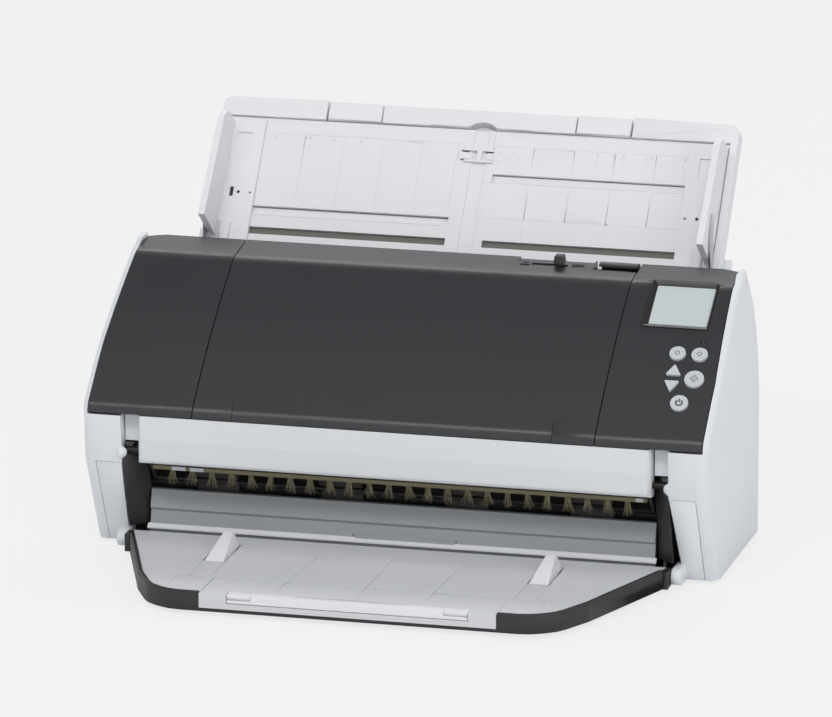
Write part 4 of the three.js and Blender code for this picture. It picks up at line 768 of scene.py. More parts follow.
# %% Carve the centre cover
LIP_LOW, LIP_RADIUS, LIP_TURN = 88.4, 9.1, 47.4
LIP_STEPS, LIP_RUN_MM, LIP_BELOW = 8, 6.0, 1.5
SEAM_MM = 0.8
LIP_SEAMS = (-97.6, 96.2)
SHELF_SIDES, SHELF_TOP, OVER_SHELF = (48.0, 94.0, 108.6, 126.0), 166.3, 170.0
TAB_ROOM, TAB_ROOM_LOW, TAB_ROOM_TOP = (118.0, 121.95, 109.4, 124.5), 156.0, 172.0


def lip_line(sunk):
    """The lip's side view from below its edge to a little way up the slope, sunk into the cover."""
    turns = [math.radians(LIP_TURN * step / LIP_STEPS) for step in range(LIP_STEPS + 1)]
    radius = LIP_RADIUS - sunk
    arc = [(LIP_RADIUS - radius * math.cos(turn), LIP_LOW + radius * math.sin(turn)) for turn in turns]
    rise = math.radians(90 - LIP_TURN)
    last = (arc[-1][0] + LIP_RUN_MM * math.cos(rise), arc[-1][1] + LIP_RUN_MM * math.sin(rise))
    return [(arc[0][0], LIP_LOW - LIP_BELOW)] + arc + [last]


cutters = bmesh.new()
for x in LIP_SEAMS:
    prism(cutters, lip_line(-PAST) + lip_line(SEAM_MM)[::-1], x - SEAM_MM / 2, x + SEAM_MM / 2, from_side)
prism(cutters, rounded(*SHELF_SIDES), SHELF_TOP, OVER_SHELF, on_level)
prism(cutters, rounded(*TAB_ROOM), TAB_ROOM_LOW, TAB_ROOM_TOP, on_level)
carve("centre_cover", cutters, 0.5)
# Nothing is cut from its two neighbours, but their edges are rounded the same way.
carve("left_end_cover", bmesh.new(), 0.6)
carve("control_panel", bmesh.new(), 0.6)

# %% [markdown]
# The selector has a small raised sign at each end of its slot: one sheet on the left, a stack of
# sheets on the right. They could be pale print, but the real ones are moulded with the cover. So
# they are strokes that rise from the shelf in the cover's own plastic, and only their edges shine.

# %% Signs beside the feed selector
SIGN_MM, SIGN_LOW, SIGN_TOP = 0.5, SHELF_TOP - 0.2, SHELF_TOP + 0.25
sheet_sign = [((50.5, 117.0), (55.5, 117.0)), ((55.5, 117.0), (55.5, 111.5)), ((55.5, 111.5), (50.5, 111.5)),
              ((50.5, 111.5), (50.5, 117.0)), ((52.0, 114.3), (54.0, 114.3))]
stack_sign = [((81.5, 117.4 - drop), end) for drop in (0.0, 1.8, 3.6)
              for end in ((88.5, 117.4 - drop), (83.0, 115.9 - drop))]
bm = bmesh.new()
for line in sheet_sign + stack_sign:
    prism(bm, stroke(*line, SIGN_MM), SIGN_LOW, SIGN_TOP, on_level)
new_piece("selector_signs", bm, BLACK_ABS, "feed_cover")

# %% [markdown]
# ## Release tab
# The tab is a curved lip that a finger pulls up, with a dark gap in front of it. It could be bent
# from a flat strip with a modifier. Its side view drawn once and given its width is simpler, and
# keeps the thin edge that catches the light. A low bed beside it closes the gap in the cover.

# %% Release tab
TAB_SIDE = [(110.6, 161.2), (123.4, 160.8), (123.4, 165.6), (121.6, 168.0), (118.5, 168.9), (115.2, 168.7),
            (113.6, 167.8), (113.6, 166.9), (115.8, 167.1), (118.6, 166.9), (120.4, 165.8), (120.8, 163.9),
            (110.6, 163.6)]
TAB_LEFT, TAB_RIGHT = 98.0, 121.4
BED_SIDES, BED_LOW, BED_TOP = (95.2, 97.7, 109.9, 123.6), 158.0, 163.0
bm = bmesh.new()
prism(bm, TAB_SIDE, TAB_LEFT, TAB_RIGHT, from_side)
new_piece("release_lip", bm, BLACK_ABS, "release_tab", ["release_tab"])
bm = bmesh.new()
prism(bm, rounded(*BED_SIDES), BED_LOW, BED_TOP, on_level)
new_piece("release_bed", bm, BLACK_ABS, "feed_cover")

# %% [markdown]
# ## Feed selector
# The selector is a ribbed black knob on a stem that runs in the slot. A cube with bevels would
# lose the waist under the knob. Rounded rectangles lofted from the stem upwards keep it, and four
# thin ribs on top give the finger its grip.

# %% Feed selector
KNOB_X, KNOB_Y = 74.0, 114.0
KNOB_RINGS = [
    # half width, half depth, height: the stem, the step out to the knob, and its narrowing top
    (1.7, 1.3, 156.2), (1.7, 1.3, 167.4), (3.1, 3.9, 167.8), (3.1, 3.9, 168.6), (2.7, 3.3, 171.9),
    (2.4, 2.9, 172.4),
]
KNOB_RIBS, RIB_HALF = (-2.1, -0.7, 0.7, 2.1), 0.25
RIB_FRONT, RIB_BACK, RIB_LOW, RIB_TOP = 110.4, 117.6, 168.8, 172.45
bm = bmesh.new()
loft(bm, [[on_level(a, b, z) for a, b in
           rounded(KNOB_X - half, KNOB_X + half, KNOB_Y - deep, KNOB_Y + deep, 0.6)]
          for half, deep, z in KNOB_RINGS])
for rib in KNOB_RIBS:
    prism(bm, rounded(KNOB_X + rib - RIB_HALF, KNOB_X + rib + RIB_HALF, RIB_FRONT, RIB_BACK),
          RIB_LOW, RIB_TOP, on_level)
new_piece("selector_knob", bm, FRAME_ABS, "feed_mode_knob", ["feed_mode_knob"])

# %% [markdown]
# ## The front panel
# The white panel under the lip has rounded upright corners, much rounder than its other edges. A
# wider bevel would round those too, so each corner is cut away outside a quarter circle, after the
# usual small rounding.

# %% Round the panel's corners
CORNER_MM = 4.5
FRONT_MM = -0.85
PANEL_EDGE = 155.6
UNDER_PANEL, OVER_PANEL = 50.0, 90.0
quarter = [math.radians(90 * step / 8) for step in range(9)]
waste = [(PANEL_EDGE + PAST, FRONT_MM + CORNER_MM)] + [
    (PANEL_EDGE - CORNER_MM + CORNER_MM * math.cos(turn), FRONT_MM + CORNER_MM - CORNER_MM * math.sin(turn))
    for turn in quarter] + [(PANEL_EDGE - CORNER_MM, FRONT_MM - PAST), (PANEL_EDGE + PAST, FRONT_MM - PAST)]
cutters = bmesh.new()
for side in (-1, 1):
    prism(cutters, [(side * x, y) for x, y in waste], UNDER_PANEL, OVER_PANEL, on_level)
carve("front_panel", cutters, 0.5)

# %% [markdown]
# ## The anti-static brush
# Under the panel hangs a strip of metal with tufts of conductive fibre that touch each sheet as it
# leaves and drain its charge. A tuft is a fan of fine, slightly bent fibres. Blender's hair could
# make them, but it doesn't travel with an exported model. So each fibre is a three-sided tube that
# narrows to its tip, and a fixed seed scatters them the same way each time. Real fibres are finer
# than 0.1 mm; these are drawn thick enough to show.

# %% Brush fibres
TUFTS = 24
FIBRES = 16
BRUSH_LEFT, BRUSH_RIGHT = -147.0, 153.0
BRUSH_Y, BRUSH_Z = 4.6, 55.0
FIBRE_MM = 0.13
TUFT_MM, FAN_MM, BEND_MM = 2.6, 3.0, 1.5
pitch = (BRUSH_RIGHT - BRUSH_LEFT) / (TUFTS + 1)
tuft_places = [(BRUSH_LEFT + BRUSH_RIGHT) / 2 + (tuft - (TUFTS - 1) / 2) * pitch for tuft in range(TUFTS)]


def fibre_tube(bm, root, lean, bend, length):
    """One fibre: it leaves its root, leans one way and bends further towards its tip."""
    rings = []
    for share in (0.0, 0.35, 0.7, 1.0):
        x = root[0] + lean[0] * share + bend[0] * share * share
        y = root[1] + lean[1] * share + bend[1] * share * share
        width = FIBRE_MM * (1 - 0.45 * share)
        rings.append([on_level(x + width * math.cos(turn), y + width * math.sin(turn),
                               BRUSH_Z - 0.2 - length * share)
                      for turn in (0.0, 2 * math.pi / 3, 4 * math.pi / 3)])
    loft(bm, rings)


chance = random.Random(7)
bm = bmesh.new()
for middle in tuft_places:
    spread = chance.uniform(0.5, 1.25)
    drift = chance.uniform(-1.0, 1.0)
    for fibre_index in range(FIBRES):
        side = (fibre_index - (FIBRES - 1) / 2) / FIBRES
        root = (middle + side * TUFT_MM + chance.uniform(-0.15, 0.15), BRUSH_Y + chance.uniform(-0.5, 0.5))
        lean = (side * FAN_MM * spread + drift * 0.6 + chance.uniform(-0.5, 0.5), chance.uniform(-0.4, 0.4))
        bend = (side * BEND_MM + chance.uniform(-0.9, 0.9), chance.uniform(-0.3, 0.3))
        fibre_tube(bm, root, lean, bend, chance.uniform(6.2, 9.3))
new_piece("brush_tufts", bm, BRUSH_FIBRE, "feed_cover", ["anti_static_brush"])
print("fibres:", TUFTS * FIBRES)

# %% [markdown]
# The tufts are crimped into a strip of tin-plated steel, with a small collar at each tuft, and three
# bright clips hold the strip to the panel. The collars could be left out, but they make the row of
# tufts look fixed and not afloat.

# %% Brush strip and its clips
# The strip's dark, dull olive is painted shade: it hangs in the shadow of the bay under the front panel.
SHADED_BRUSH_STRIP = plated_steel("tin-plated brush strip, dark with painted shade", "#77725E", 0.55)
CLIP_SIDE = [(2.4, 55.4), (3.1, 55.4), (3.1, 57.7), (1.9, 57.7)]
CLIPS = [(-135.0, -126.5), (-124.0, -115.5), (146.5, 151.0)]
COLLAR_HALF, COLLAR_DEEP = 1.6, 0.7
bm = bmesh.new()
prism(bm, rounded(3.2, 6.0, BRUSH_Z, 57.6, 0.4), BRUSH_LEFT, BRUSH_RIGHT, from_side)
for middle in tuft_places:
    prism(bm, rounded(middle - COLLAR_HALF, middle + COLLAR_HALF, BRUSH_Y - COLLAR_DEEP,
                      BRUSH_Y + COLLAR_DEEP, 0.3), BRUSH_Z - 0.6, BRUSH_Z + 0.3, on_level)
new_piece("brush_strip", bm, SHADED_BRUSH_STRIP, "feed_cover")
bm = bmesh.new()
for x0, x1 in CLIPS:
    prism(bm, CLIP_SIDE, x0, x1, from_side)
new_piece("brush_clips", bm, PLATED_STEEL, "feed_cover")

# %% [markdown]
# ## The exit wall
# Low on the exit wall a thin raised lip with a small arch marks where a finger lifts the last sheet,
# and a short groove beside each end of it shows where it is set in. They could be drawn upright and
# turned, but the wall leans back, so it is simpler to draw both in the wall's own plane.

# %% Finger lip on the exit wall
LIP_TOP = [(-27.8, 17.9), (-8.5, 18.3), (-3.5, 19.0), (0.5, 20.0), (4.5, 20.3), (8.5, 19.8), (12.5, 18.6),
           (15.0, 18.2), (32.8, 17.7)]
LIP_FOOT = [(32.8, 12.6), (-27.8, 12.6)]
LIP_GROOVES = [rounded(x - 0.5, x + 0.5, 15.8, 18.4) for x in (-28.9, 33.9)]
WALL_LOW, WALL_STEP = (20.0, 12.0), (23.1, 24.4)


def on_wall(x, z, rise):
    """A place on the lower, leaning face of the exit wall."""
    share = (z - WALL_LOW[1]) / (WALL_STEP[1] - WALL_LOW[1])
    return mm(x, WALL_LOW[0] + share * (WALL_STEP[0] - WALL_LOW[0]) - rise + MIDDLE_Y_MM, z)


bm = bmesh.new()
prism(bm, LIP_TOP + LIP_FOOT, -0.3, 0.7, on_wall)
# The lip shares the wall's mid grey, which is painted shade.
new_piece("finger_lip", bm, SHADED_WALL_ABS, "housing")
cutters = bmesh.new()
for groove in LIP_GROOVES:
    prism(cutters, groove, -1.0, PAST, on_wall)
carve("exit_wall", cutters, 0.4)

# %% [markdown]
# ## Ledge and skirts
# At the foot of the wall a pale ledge covers the gap behind the stacker, and beside the front panel
# two pale skirts close the corners of the unit. Both are plain strips in the real machine. Each is
# one outline with a length; a bevelled box would miss the ledge's sloping top.

# %% Ledge at the foot of the wall
LEDGE_SIDE = [(18.5, 13.9), (20.9, 13.9), (21.2, 16.6), (19.6, 15.7), (18.5, 14.8)]
LEDGE_REACH = 155.2
bm = bmesh.new()
prism(bm, LEDGE_SIDE, -LEDGE_REACH, LEDGE_REACH, from_side)
new_piece("wall_ledge", bm, TRAY_ABS, "housing")

# %% Skirts beside the front panel
SKIRT_SIDE = rounded(8.4, 9.4, 70.5, 87.4)
SKIRTS = [(-165.3, -156.4), (156.4, 165.3)]
bm = bmesh.new()
for x0, x1 in SKIRTS:
    prism(bm, SKIRT_SIDE, x0, x1, from_side)
new_piece("panel_skirts", bm, WHITE_ABS, "feed_cover")

# %% [markdown]
# ## Hinge cones
# On each pillar, at the end of the front panel, a small cone carries the hinge pin. Blender's own
# cone would lose its steps. A row of circles along the pin gives the steps as well as the slope.

# %% Cones that carry the hinge pins
HINGE_Y, HINGE_Z = 3.0, 64.2
CONE_RINGS = [(4.2, 166.6), (4.0, 165.9), (2.6, 164.2), (1.9, 163.4), (1.2, 163.1)]
for name, side in (("left", -1), ("right", 1)):
    bm = bmesh.new()
    loft(bm, [[from_side(HINGE_Y + a, HINGE_Z + b, side * x) for a, b in disc(0, 0, radius, 24)]
              for radius, x in CONE_RINGS])
    new_piece(f"{name}_hinge_cone", bm, WHITE_ABS, "housing")

# %% [markdown]
# ## The stacker
# The stacker's white floor is scored with fine lines that line sheets up, and its front pulls out as
# an extension whose end piece flips up as a stop. The lines could be a texture, but every one is a
# real groove, about half a millimetre wide, so that it stays in place and darkens as the light moves.
# The long ones run on from the floor into the extension, so both share one list.

# %% Grooves in the stacker's floor
FLOOR_TOP = 13.5
SCORE_MM = 0.45
SCORE_DEEP = 0.35
LONG_LINES = [((-41.2, -16.0), (-46.6, -92.4)), ((3.4, -10.0), (2.1, -92.0)), ((46.0, -12.0), (42.3, -92.0))]
POCKET_LINES = [((89.4, -71.6), (110.5, -71.6)), ((110.5, -71.6), (112.0, -95.0)),
                ((91.4, -38.6), (91.4, -71.4)), ((104.6, -38.6), (104.6, -71.4))]
WEDGE_POCKET, UNDER_FLOOR, OVER_FLOOR = (91.0, 105.0, -38.9, -1.6), 9.0, 15.0


def score(cutters, start, end, width=SCORE_MM, deep=SCORE_DEEP):
    """One scored line on the stacker's floor."""
    prism(cutters, stroke(start, end, width), FLOOR_TOP - deep, FLOOR_TOP + PAST, on_level)


cutters = bmesh.new()
for line in LONG_LINES:
    score(cutters, *line)
for side in (-1, 1):
    for line in POCKET_LINES:
        score(cutters, *[(side * x, y) for x, y in line])
    prism(cutters, either_side(side, *WEDGE_POCKET), UNDER_FLOOR, OVER_FLOOR, on_level)
carve("stacker_floor", cutters, 0.35)

# %% Grooves, arrows and scoop in the stacker's extension
SHORT_LINES = [((-88.0, -96.2), (-39.0, -97.2)), ((39.0, -97.2), (88.0, -96.2))]
ARROW = [(76.0, -80.6), (78.6, -80.6), (78.6, -79.2)]
SLIDE_LINE, SLIDE_MM, SLIDE_DEEP = [(74.0, -74.0), (74.0, -96.0)], 0.3, 0.25
SCOOP = [(38.0, -98.6), (19.0, -96.4), (0.0, -95.6), (-19.0, -96.4), (-38.0, -98.6), (-38.0, -99.2),
         (38.0, -99.2)]
ARROW_LOW, SCOOP_LOW, OVER_RIM = 12.7, 12.9, 14.0
cutters = bmesh.new()
for line in LONG_LINES + SHORT_LINES:
    score(cutters, *line)
for side in (-1, 1):
    prism(cutters, [(side * x, y) for x, y in ARROW], ARROW_LOW, OVER_RIM, on_level)
    score(cutters, *[(side * x, y) for x, y in SLIDE_LINE], SLIDE_MM, SLIDE_DEEP)
prism(cutters, SCOOP, SCOOP_LOW, OVER_RIM, on_level)
carve("stacker_extension", cutters, 0.35)

# %% [markdown]
# ## The stacker's rim
# A rounded bead runs along the rim of the black frame and catches a long line of light. A bevelled
# curve object could draw it, but the bead is fuller on its inner side. So its section is set up at
# each point of the rim, turned to face into the stacker, and lofted.

# %% Bead along the stacker's rim
RIM_PATH = [(162.0, 4.4), (149.0, -32.0), (136.1, -68.4), (126.3, -88.3), (122.5, -93.9), (117.2, -98.2),
            (113.2, -100.6), (107.3, -103.1), (100.7, -104.0), (89.2, -104.0)]
BEAD = [(0.2, 12.9), (0.2, 13.7), (0.6, 14.2), (1.4, 14.4), (2.3, 14.2), (2.8, 13.5), (2.8, 12.9)]


def inward(path, index):
    """The direction into the stacker at one point of its rim."""
    before, after = path[max(index - 1, 0)], path[min(index + 1, len(path) - 1)]
    length = math.hypot(after[0] - before[0], after[1] - before[1])
    return (after[1] - before[1]) / length, -(after[0] - before[0]) / length


for name, side in (("left", -1), ("right", 1)):
    rings = []
    for index, (x, y) in enumerate(RIM_PATH):
        across, along = inward(RIM_PATH, index)
        rings.append([on_level(side * (x + across * inset), y + along * inset, z) for inset, z in BEAD])
    bm = bmesh.new()
    loft(bm, rings)
    new_piece(f"{name}_rim_bead", bm, FRAME_ABS, "stacker")

# %% [markdown]
# ## The stopper
# The stop at the end of the stacker is closed by a small block at each end, and its top is hollowed
# for a thumb. The blocks could be pieces of their own, but only their seams show, so the seams are
# cut in the same way as the scored lines.

# %% Stopper with the seams of its end blocks
BLOCK_SEAMS = [((57.8, 13.6), (57.8, 10.9)), ((57.5, 10.9), (72.0, 10.9))]
BLOCK_SEAM_MM, BLOCK_FRONT, BLOCK_SUNK = 0.8, -106.0, -103.9
THUMB_HOLLOW = [(-36.0, -98.0), (36.0, -98.0), (30.0, -99.6), (0.0, -100.4), (-30.0, -99.6)]
HOLLOW_LOW = 13.1
cutters = bmesh.new()
for side in (-1, 1):
    for line in BLOCK_SEAMS:
        prism(cutters, stroke(*[(side * x, z) for x, z in line], BLOCK_SEAM_MM), BLOCK_FRONT, BLOCK_SUNK,
              facing)
prism(cutters, THUMB_HOLLOW, HOLLOW_LOW, OVER_RIM, on_level)
carve("stopper", cutters, 0.45)

# %% [markdown]
# ## Wedges
# Two wedges lift the tail of the stack. Each is a tapered ramp, wide at its foot and narrow at its
# crest, with sides that lean in. A scaled cube could taper along one direction only. Four-sided
# rings lofted from the foot to the crest change width, height and lean together, and an underside
# that rises clears the frame when the wedge is folded into its pocket.

# %% Tapered wedges
WEDGE_X = 98.0
WEDGE_RINGS = [
    # y, half width below, z below, half width above, z above
    (-37.6, 6.0, 12.0, 5.9, 13.4),
    (-36.0, 6.0, 11.2, 5.6, 14.0),
    (-29.5, 6.0, 11.3, 4.9, 16.0),
    (-22.0, 6.0, 12.0, 4.3, 18.2),
    (-8.0, 6.0, 13.2, 3.0, 22.2),
    (-5.2, 6.0, 13.45, 2.8, 22.5),
    (-4.4, 6.0, 13.5, 2.9, 22.0),
]
for name, side in (("left", -1), ("right", 1)):
    bm = bmesh.new()
    loft(bm, [[on_level(side * WEDGE_X + a, y, z) for a, z in
               [(-low_half, low_z), (low_half, low_z), (top_half, top_z), (-top_half, top_z)]]
              for y, low_half, low_z, top_half, top_z in WEDGE_RINGS])
    wedge = new_piece(f"{name}_ramp", bm, TRAY_ABS, f"{name}_wedge", [f"{name}_wedge"])
    soften(wedge, 0.3)

# %% [markdown]
# ## The input tray
# The tray's plate is scored with a shallow grid that stiffens it and lets sheets slide, with short
# size ticks along its top, two small rings, and the slits of a paper clip. As on the stacker, each
# line is a real groove. All of them go into one set of cutters and are taken away at once, which is
# quicker than a boolean for each and leaves cleaner crossings.

# %% Grooves in the tray plate
LEFT_GRID_X = [-107.0, -82.2, -57.3, -33.2]
RIGHT_GRID_X = [36.3, 61.6, 87.0, 112.2]
GRID_LINES = [((-131.0, 70.7), (-9.0, 71.2)), ((-131.5, 15.9), (-12.0, 16.2)), ((11.0, 70.7), (134.0, 70.7)),
              ((9.0, 46.4), (134.0, 46.6)), ((10.0, 23.0), (134.0, 23.0)), ((11.0, 80.0), (154.0, 80.0)),
              ((-11.0, 70.7), (-11.0, 24.0)), ((11.0, 80.0), (11.0, 66.0))]
TICKS = [(-125.8, 8), (-106.1, 9), (-103.6, 9), (-89.0, 7), (-72.0, 9), (76.0, 9), (86.0, 9), (92.0, 9),
         (106.3, 9), (109.4, 9), (129.8, 9)]
TICK_TOP, TICK_TIP, TICK_HALF = 69.2, 68.0, 0.9
TICK_LINE, BARB_LINE = (0.45, 0.25), (0.3, 0.2)   # width and depth
PLATE_RINGS, RING_RUN, RING_RADIUS, RING_WIDTH, RING_DEEP = (14.6, 24.6), 63.4, 3.2, 0.4, 0.25
CLIP_SLITS = [(-8.4, -3.4, 66.5), (6.4, 11.4, 66.5), (-8.4, -3.2, 60.8), (6.6, 11.6, 60.8)]
SLIT_HALF_MM, SLIT_DEEP = 0.6, 3.0
plate_cutters = bmesh.new()


def score_plate(start, end, width=0.5, deep=0.3):
    """One scored line on the tray plate."""
    prism(plate_cutters, stroke(start, end, width), -deep, PAST, on_tray)


for x in LEFT_GRID_X:
    score_plate((x, 70.6), (x, 23.4))
for x in RIGHT_GRID_X:
    score_plate((x, 70.6), (x, 53.4))
    score_plate((x, 46.5), (x, 9.4))
for start, end in GRID_LINES:
    score_plate(start, end)
for x, length in TICKS:
    score_plate((x, TICK_TOP), (x, TICK_TOP - length), *TICK_LINE)
    for barb in (-TICK_HALF, TICK_HALF):
        score_plate((x + barb, TICK_TOP), (x, TICK_TIP), *BARB_LINE)
for x in PLATE_RINGS:
    for outline in ring_strokes(x, RING_RUN, RING_RADIUS, RING_WIDTH, 0, 360, 24):
        prism(plate_cutters, outline, -RING_DEEP, PAST, on_tray)
for x0, x1, run in CLIP_SLITS:
    prism(plate_cutters, rounded(x0, x1, run - SLIT_HALF_MM, run + SLIT_HALF_MM), -SLIT_DEEP, PAST, on_tray)
carve("tray_plate", plate_cutters, 0.25)

# %% [markdown]
# Through the lower slots and the clip's slits the eye meets shade inside the tray. Real depth there would
# need a second shell, so thin dark strips just under the plate are painted shade in its place.

# %% Painted shade under the lower slots and the paper clip
# Dark olive strips under the lower slots, and a dark one under the clip's slits: painted shade.
SLOT_SHADE = moulded("painted shade, dark olive, under the slots", "#66675F", 0.5, 0.25, 0.02, 0.05)
SHADE_STRIP_LOW, SHADE_STRIP_TOP = -2.7, -2.1
SHADE_STRIPS = {"slot_liners": (SLOT_SHADE, [(-133.0, -8.0, 3.0, 9.0), (11.0, 133.0, 3.0, 9.0)]),
          "clip_liner": (DARK_GUIDE_AND_SHADE, [(-9.5, 12.5, 58.0, 68.5)])}
for name, (plastic, strips) in SHADE_STRIPS.items():
    bm = bmesh.new()
    for sides in strips:
        prism(bm, rounded(*sides), SHADE_STRIP_LOW, SHADE_STRIP_TOP, on_tray)
    new_piece(name, bm, plastic, "input_tray")

# %% [markdown]
# Short seams at the top of the shell show where the extensions slide in, and each extension has a
# shallow step along its top for a fingertip. All are straight and could be extra edges in the mesh,
# but boxes that are taken away are easier to place and to move.

# %% Tray shell and its extensions
OVER_TRAY = 3.0
TRAY_CUTS = {
    # node: edge rounding, bevel steps, and its cuts as sides and the height that they go down to
    "tray_shell": (0.9, 3, [(either_side(side, 94.2, 95.7, 81.0, 96.5), -4.0) for side in (-1, 1)]),
    "outer_extension": (0.5, 2, [cut for side in (-1, 1) for cut in (
        (either_side(side, 59.0, 61.2, 80.0, 95.0), 0.2), (either_side(side, 59.0, 96.0, 80.0, 81.9), 0.9))]),
    "inner_extension": (0.5, 2, [(rounded(-30.0, 34.0, 79.0, 81.8), 1.2)]),
}
for node, (edge_mm, segments, cuts) in TRAY_CUTS.items():
    cutters = bmesh.new()
    for outline, down_to in cuts:
        prism(cutters, outline, down_to, OVER_TRAY, on_tray)
    carve(node, cutters, edge_mm, segments)

# %% [markdown]
# ## The side guides
# The guides run in the long slots. Each has a window near its top, and two round holes and a short slot above
# its grip. Dark spots painted on a flat guide would stay dark in any light, so the holes are really cut. A
# dark disc a little way down each hole, a piece of its own, is painted shade for the hole's depth.

# %% Guides with their windows and holes
HOLE_DOWN_TO, HOLE_SHADE_LOW, HOLE_SHADE_HIGH = 0.55, 0.45, 0.75
GUIDE_WINDOW, WINDOW_DOWN_TO = (139.6, 149.6, 55.4, 69.6, 0.4), 0.9
GUIDE_LINES, LINE_FOOT, LINE_HEAD, LINE_MM, LINE_DOWN_TO = (150.2, 151.2), -8.0, 52.0, 0.3, 1.75
for side, node in ((-1, "left_guide"), (1, "right_guide")):
    cutters = bmesh.new()
    prism(cutters, either_side(side, *GUIDE_WINDOW), WINDOW_DOWN_TO, OVER_TRAY, on_tray)
    holes = [disc(side * 142.8, 29.9, 1.15, 20), disc(side * 135.4, 29.8, 0.8, 16),
             either_side(side, 145.8, 148.3, 26.8, 33.4, 0.3)]
    bm = bmesh.new()
    for hole in holes:
        prism(cutters, hole, HOLE_DOWN_TO, OVER_TRAY, on_tray)
        # A dark disc a little way down each hole is painted shade for its depth.
        prism(bm, hole, HOLE_SHADE_LOW, HOLE_SHADE_HIGH, on_tray)
    new_piece(f"{node}_hole_shade_discs", bm, DARK_GUIDE_AND_SHADE, BODY_OF[node])
    for x in GUIDE_LINES:
        prism(cutters, stroke((side * x, LINE_FOOT), (side * x, LINE_HEAD), LINE_MM), LINE_DOWN_TO,
              OVER_TRAY, on_tray)
    carve(node, cutters, 0.5)

# %% [markdown]
# ## The guides' grips
# Near its foot each guide carries a squeeze grip: a raised block, and a thin pressed lever beside
# the fin that frees the guide to slide. The block tapers at its top, so it is lofted; the lever is
# sheet metal, so its side view is given the thickness of a sheet.

# %% Grip block and lever
GRIP_SIDES = (143.6, 149.8, -9.0, 9.6)
GRIP_STEPS = [(0.0, 1.4), (0.0, 4.6), (0.7, 5.3)]
LEVER = [(-6.0, 8.0), (2.0, 16.0), (13.0, 21.5), (24.5, 23.5), (24.0, 20.0), (14.0, 15.0), (6.0, 6.0),
         (-4.0, 4.0)]
LEVER_NEAR, LEVER_FAR = 156.25, 157.35


def beside_fin(run, rise, x):
    """A place on the tray for an outline seen from the side: up the slope, off the face, across."""
    return on_tray(x, run, rise)


for name, side in (("left", -1), ("right", 1)):
    left, right, foot, top = GRIP_SIDES
    bm = bmesh.new()
    loft(bm, [[on_tray(side * x, run, rise) for x, run in
               rounded(left + inset, right - inset, foot + inset, top - inset, 0.8)]
              for inset, rise in GRIP_STEPS])
    new_piece(f"{name}_grip", bm, TRAY_ABS, f"{name}_guide")
    bm = bmesh.new()
    prism(bm, LEVER, side * LEVER_NEAR, side * LEVER_FAR, beside_fin)
    new_piece(f"{name}_lever", bm, PLATED_STEEL, f"{name}_guide")

# %% [markdown]
# ## The back
# A row of slits lets the warm air of the motor and board out, and four screws in shallow wells hold
# the rear cover. A striped texture would pass from afar, but slits that are cut darken inwards and
# keep their shape at a slant. No thread is modelled: only the screws' low, round heads show.

# %% Slits and screws in the rear cover
REAR_MM, BEHIND = 176.0, 2.0
SLITS, SLIT_LEFT, SLIT_PITCH, SLIT_SINK = 14, -130.0, 7.0, 4.0
WELL_DEPTH, WELL_RADIUS = 1.2, 4.0
SCREW_X, SCREW_Z = (-150.0, 150.0), (100.0, 60.0)
SCREW_HEAD = [(3.3, -0.6), (3.3, 0.4), (2.8, 0.9), (1.6, 1.1)]
cutters = bmesh.new()
for index in range(SLITS):
    x = SLIT_LEFT + index * SLIT_PITCH
    prism(cutters, rounded(x - 1.1, x + 1.1, 66.0, 86.0, 1.0), REAR_MM - SLIT_SINK, REAR_MM + BEHIND, facing)
for x in SCREW_X:
    for z in SCREW_Z:
        prism(cutters, disc(x, z, WELL_RADIUS, 28), REAR_MM - WELL_DEPTH, REAR_MM + BEHIND, facing)
carve("rear_cover", cutters, 1.2, 3)
bm = bmesh.new()
for x in SCREW_X:
    for z in SCREW_Z:
        loft(bm, [[facing(a, b, REAR_MM - WELL_DEPTH + rise) for a, b in disc(x, z, radius, 24)]
                  for radius, rise in SCREW_HEAD])
new_piece("rear_screws", bm, PLATED_STEEL, "housing")

# %% [markdown]
# ## The camera
# The photograph was taken from far away with a long lens, from a little above and to the right. A
# near camera would make the front look too large for the tray, so the camera stands 4.8 metres off
# with a 353 mm lens. Its place and aim were worked out from the corners of the machine's body.

# %% Camera
TARGET = mm(14.71, MIDDLE_Y_MM, 134.09)
PLACE = mm(1153.5, -4471.1 + MIDDLE_Y_MM, 1354.0)
lens = bpy.data.cameras.new("long lens")
lens.lens = 353.0
lens.sensor_width = 36.0
lens.clip_end = 50.0
camera = bpy.data.objects.new("camera", lens)
bpy.context.scene.collection.objects.link(camera)
camera.location = PLACE
camera.rotation_euler = (TARGET - PLACE).to_track_quat("-Z", "Y").to_euler()
bpy.context.scene.camera = camera
print("camera distance in metres:", round((TARGET - PLACE).length, 2))

# %% [markdown]
# ## The world
# The machine stands before a pale sweep. More light on it would whiten the backdrop, but would
# also bleach the machine. So rays from the camera, reflections and glass see the backdrop at full
# strength, while the rays that light the machine see a dimmer, slightly cool sky. In reflections
# the sky darkens towards the ceiling, as in a real room: without that, the sloping black cover
# would mirror white and look grey.

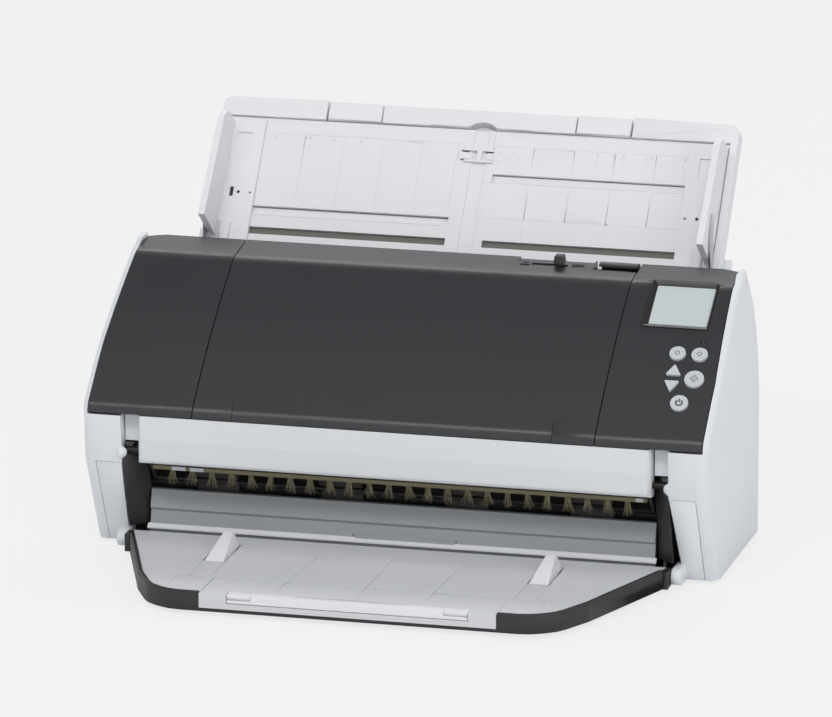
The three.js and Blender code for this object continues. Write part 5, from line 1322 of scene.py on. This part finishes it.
# %% World
BACKDROP = colour("#F3F3F3")
CEILING_FROM, CEILING_TO, CEILING_SHARE = 0.35, 0.75, 0.2
ROOM_LIGHT = 0.54
world = bpy.data.worlds.new("pale sweep")
bpy.context.scene.world = world
world.use_nodes = True
sky = world.node_tree
sky.nodes.clear()
rays = add(sky, "ShaderNodeLightPath")
seen = add(sky, "ShaderNodeMath", {0: rays.outputs["Is Camera Ray"], 1: rays.outputs["Is Glossy Ray"]},
           operation="MAXIMUM")
seen = add(sky, "ShaderNodeMath", {0: seen.outputs[0], 1: rays.outputs["Is Transmission Ray"]},
           operation="MAXIMUM")
towards = add(sky, "ShaderNodeTexCoord").outputs["Generated"]
height = add(sky, "ShaderNodeSeparateXYZ", {0: towards})
ceiling = add(sky, "ShaderNodeMapRange",
              {"Value": height.outputs["Z"], "From Min": CEILING_FROM, "From Max": CEILING_TO,
               "To Min": 1.0, "To Max": CEILING_SHARE})
mirrored = add(sky, "ShaderNodeMix", {0: rays.outputs["Is Glossy Ray"], 2: 1.0, 3: ceiling.outputs["Result"]})
shown = add(sky, "ShaderNodeBackground", {"Color": BACKDROP, "Strength": mirrored.outputs[0]})
lighting = add(sky, "ShaderNodeBackground", {"Color": colour("#F4F6FA"), "Strength": ROOM_LIGHT})
mixed = add(sky, "ShaderNodeMixShader",
            {0: seen.outputs[0], 1: lighting.outputs["Background"], 2: shown.outputs["Background"]})
add(sky, "ShaderNodeOutputWorld", {"Surface": mixed.outputs["Shader"]})
print("sky nodes:", len(sky.nodes))

# %% [markdown]
# ## The floor
# The floor is matt paper that has to meet the backdrop without a line and still show the machine's
# shadow. Plain paper would turn grey towards the horizon. So the camera sees it mostly as a glow of
# the backdrop's own colour, with a share of real paper left to carry the shadow.

# %% Floor
REACH = 6.0
GLOW_SHARE = 0.85
floor_mesh = bpy.data.meshes.new("floor")
floor_mesh.from_pydata([(-REACH, -REACH, 0), (REACH, -REACH, 0), (REACH, REACH, 0), (-REACH, REACH, 0)], [],
                       [(0, 1, 2, 3)])
floor = bpy.data.objects.new("floor", floor_mesh)
bpy.context.scene.collection.objects.link(floor)
floor_paper, tree = new_tree("pale paper sweep")
rays = add(tree, "ShaderNodeLightPath")
paper = add(tree, "ShaderNodeBsdfDiffuse", {"Color": BACKDROP})
glow = add(tree, "ShaderNodeEmission", {"Color": BACKDROP, "Strength": 1.0})
share = add(tree, "ShaderNodeMath", {0: rays.outputs["Is Camera Ray"], 1: GLOW_SHARE}, operation="MULTIPLY")
mixed = add(tree, "ShaderNodeMixShader",
            {0: share.outputs[0], 1: paper.outputs["BSDF"], 2: glow.outputs["Emission"]})
add(tree, "ShaderNodeOutputMaterial", {"Surface": mixed.outputs["Shader"]})
floor_mesh.materials.append(floor_paper)
print("floor:", 2 * REACH, "metres square")

# %% [markdown]
# ## The lamps
# Four soft lamps do the rest, and each has one task. A wide one overhead adds to the even light. A
# long one in front draws the line of light along the cover's lip. A strip behind brightens the
# cover's rear edge, and a weak one on the right fills the shade of the side cover. Small, hard lamps
# would give the same brightness with sharp shadows, which the photograph doesn't have.


# %% Lamps
def soft_lamp(name, place, target, width, height, watts):
    """A rectangular soft lamp that faces its target."""
    light = bpy.data.lights.new(name, "AREA")
    light.shape = "RECTANGLE"
    light.size, light.size_y = width, height
    light.energy = watts
    lamp = bpy.data.objects.new(name, light)
    bpy.context.scene.collection.objects.link(lamp)
    lamp.location = place
    lamp.rotation_euler = (target - Vector(place)).to_track_quat("-Z", "Y").to_euler()
    print(name, "made:", watts, "watts")


MIDDLE = mm(0, 0, 100)
soft_lamp("overhead softbox", (0.0, -0.5, 1.6), MIDDLE, 2.0, 1.2, 3)
soft_lamp("front softbox", (0.0, -1.6, 2.0), MIDDLE, 2.2, 0.4, 19)
soft_lamp("rear strip", (0.0, 1.6, 1.6), MIDDLE, 2.5, 0.35, 11)
soft_lamp("right fill", (1.8, -1.3, 0.8), MIDDLE, 1.4, 1.0, 8)

# %% [markdown]
# ## Finish
# A filmic view transform would soften the highlights, but also shift every colour. The standard one
# shows each colour as it was written, so it is used.

# %% Finish
scene = bpy.context.scene
scene.view_settings.view_transform = "Standard"
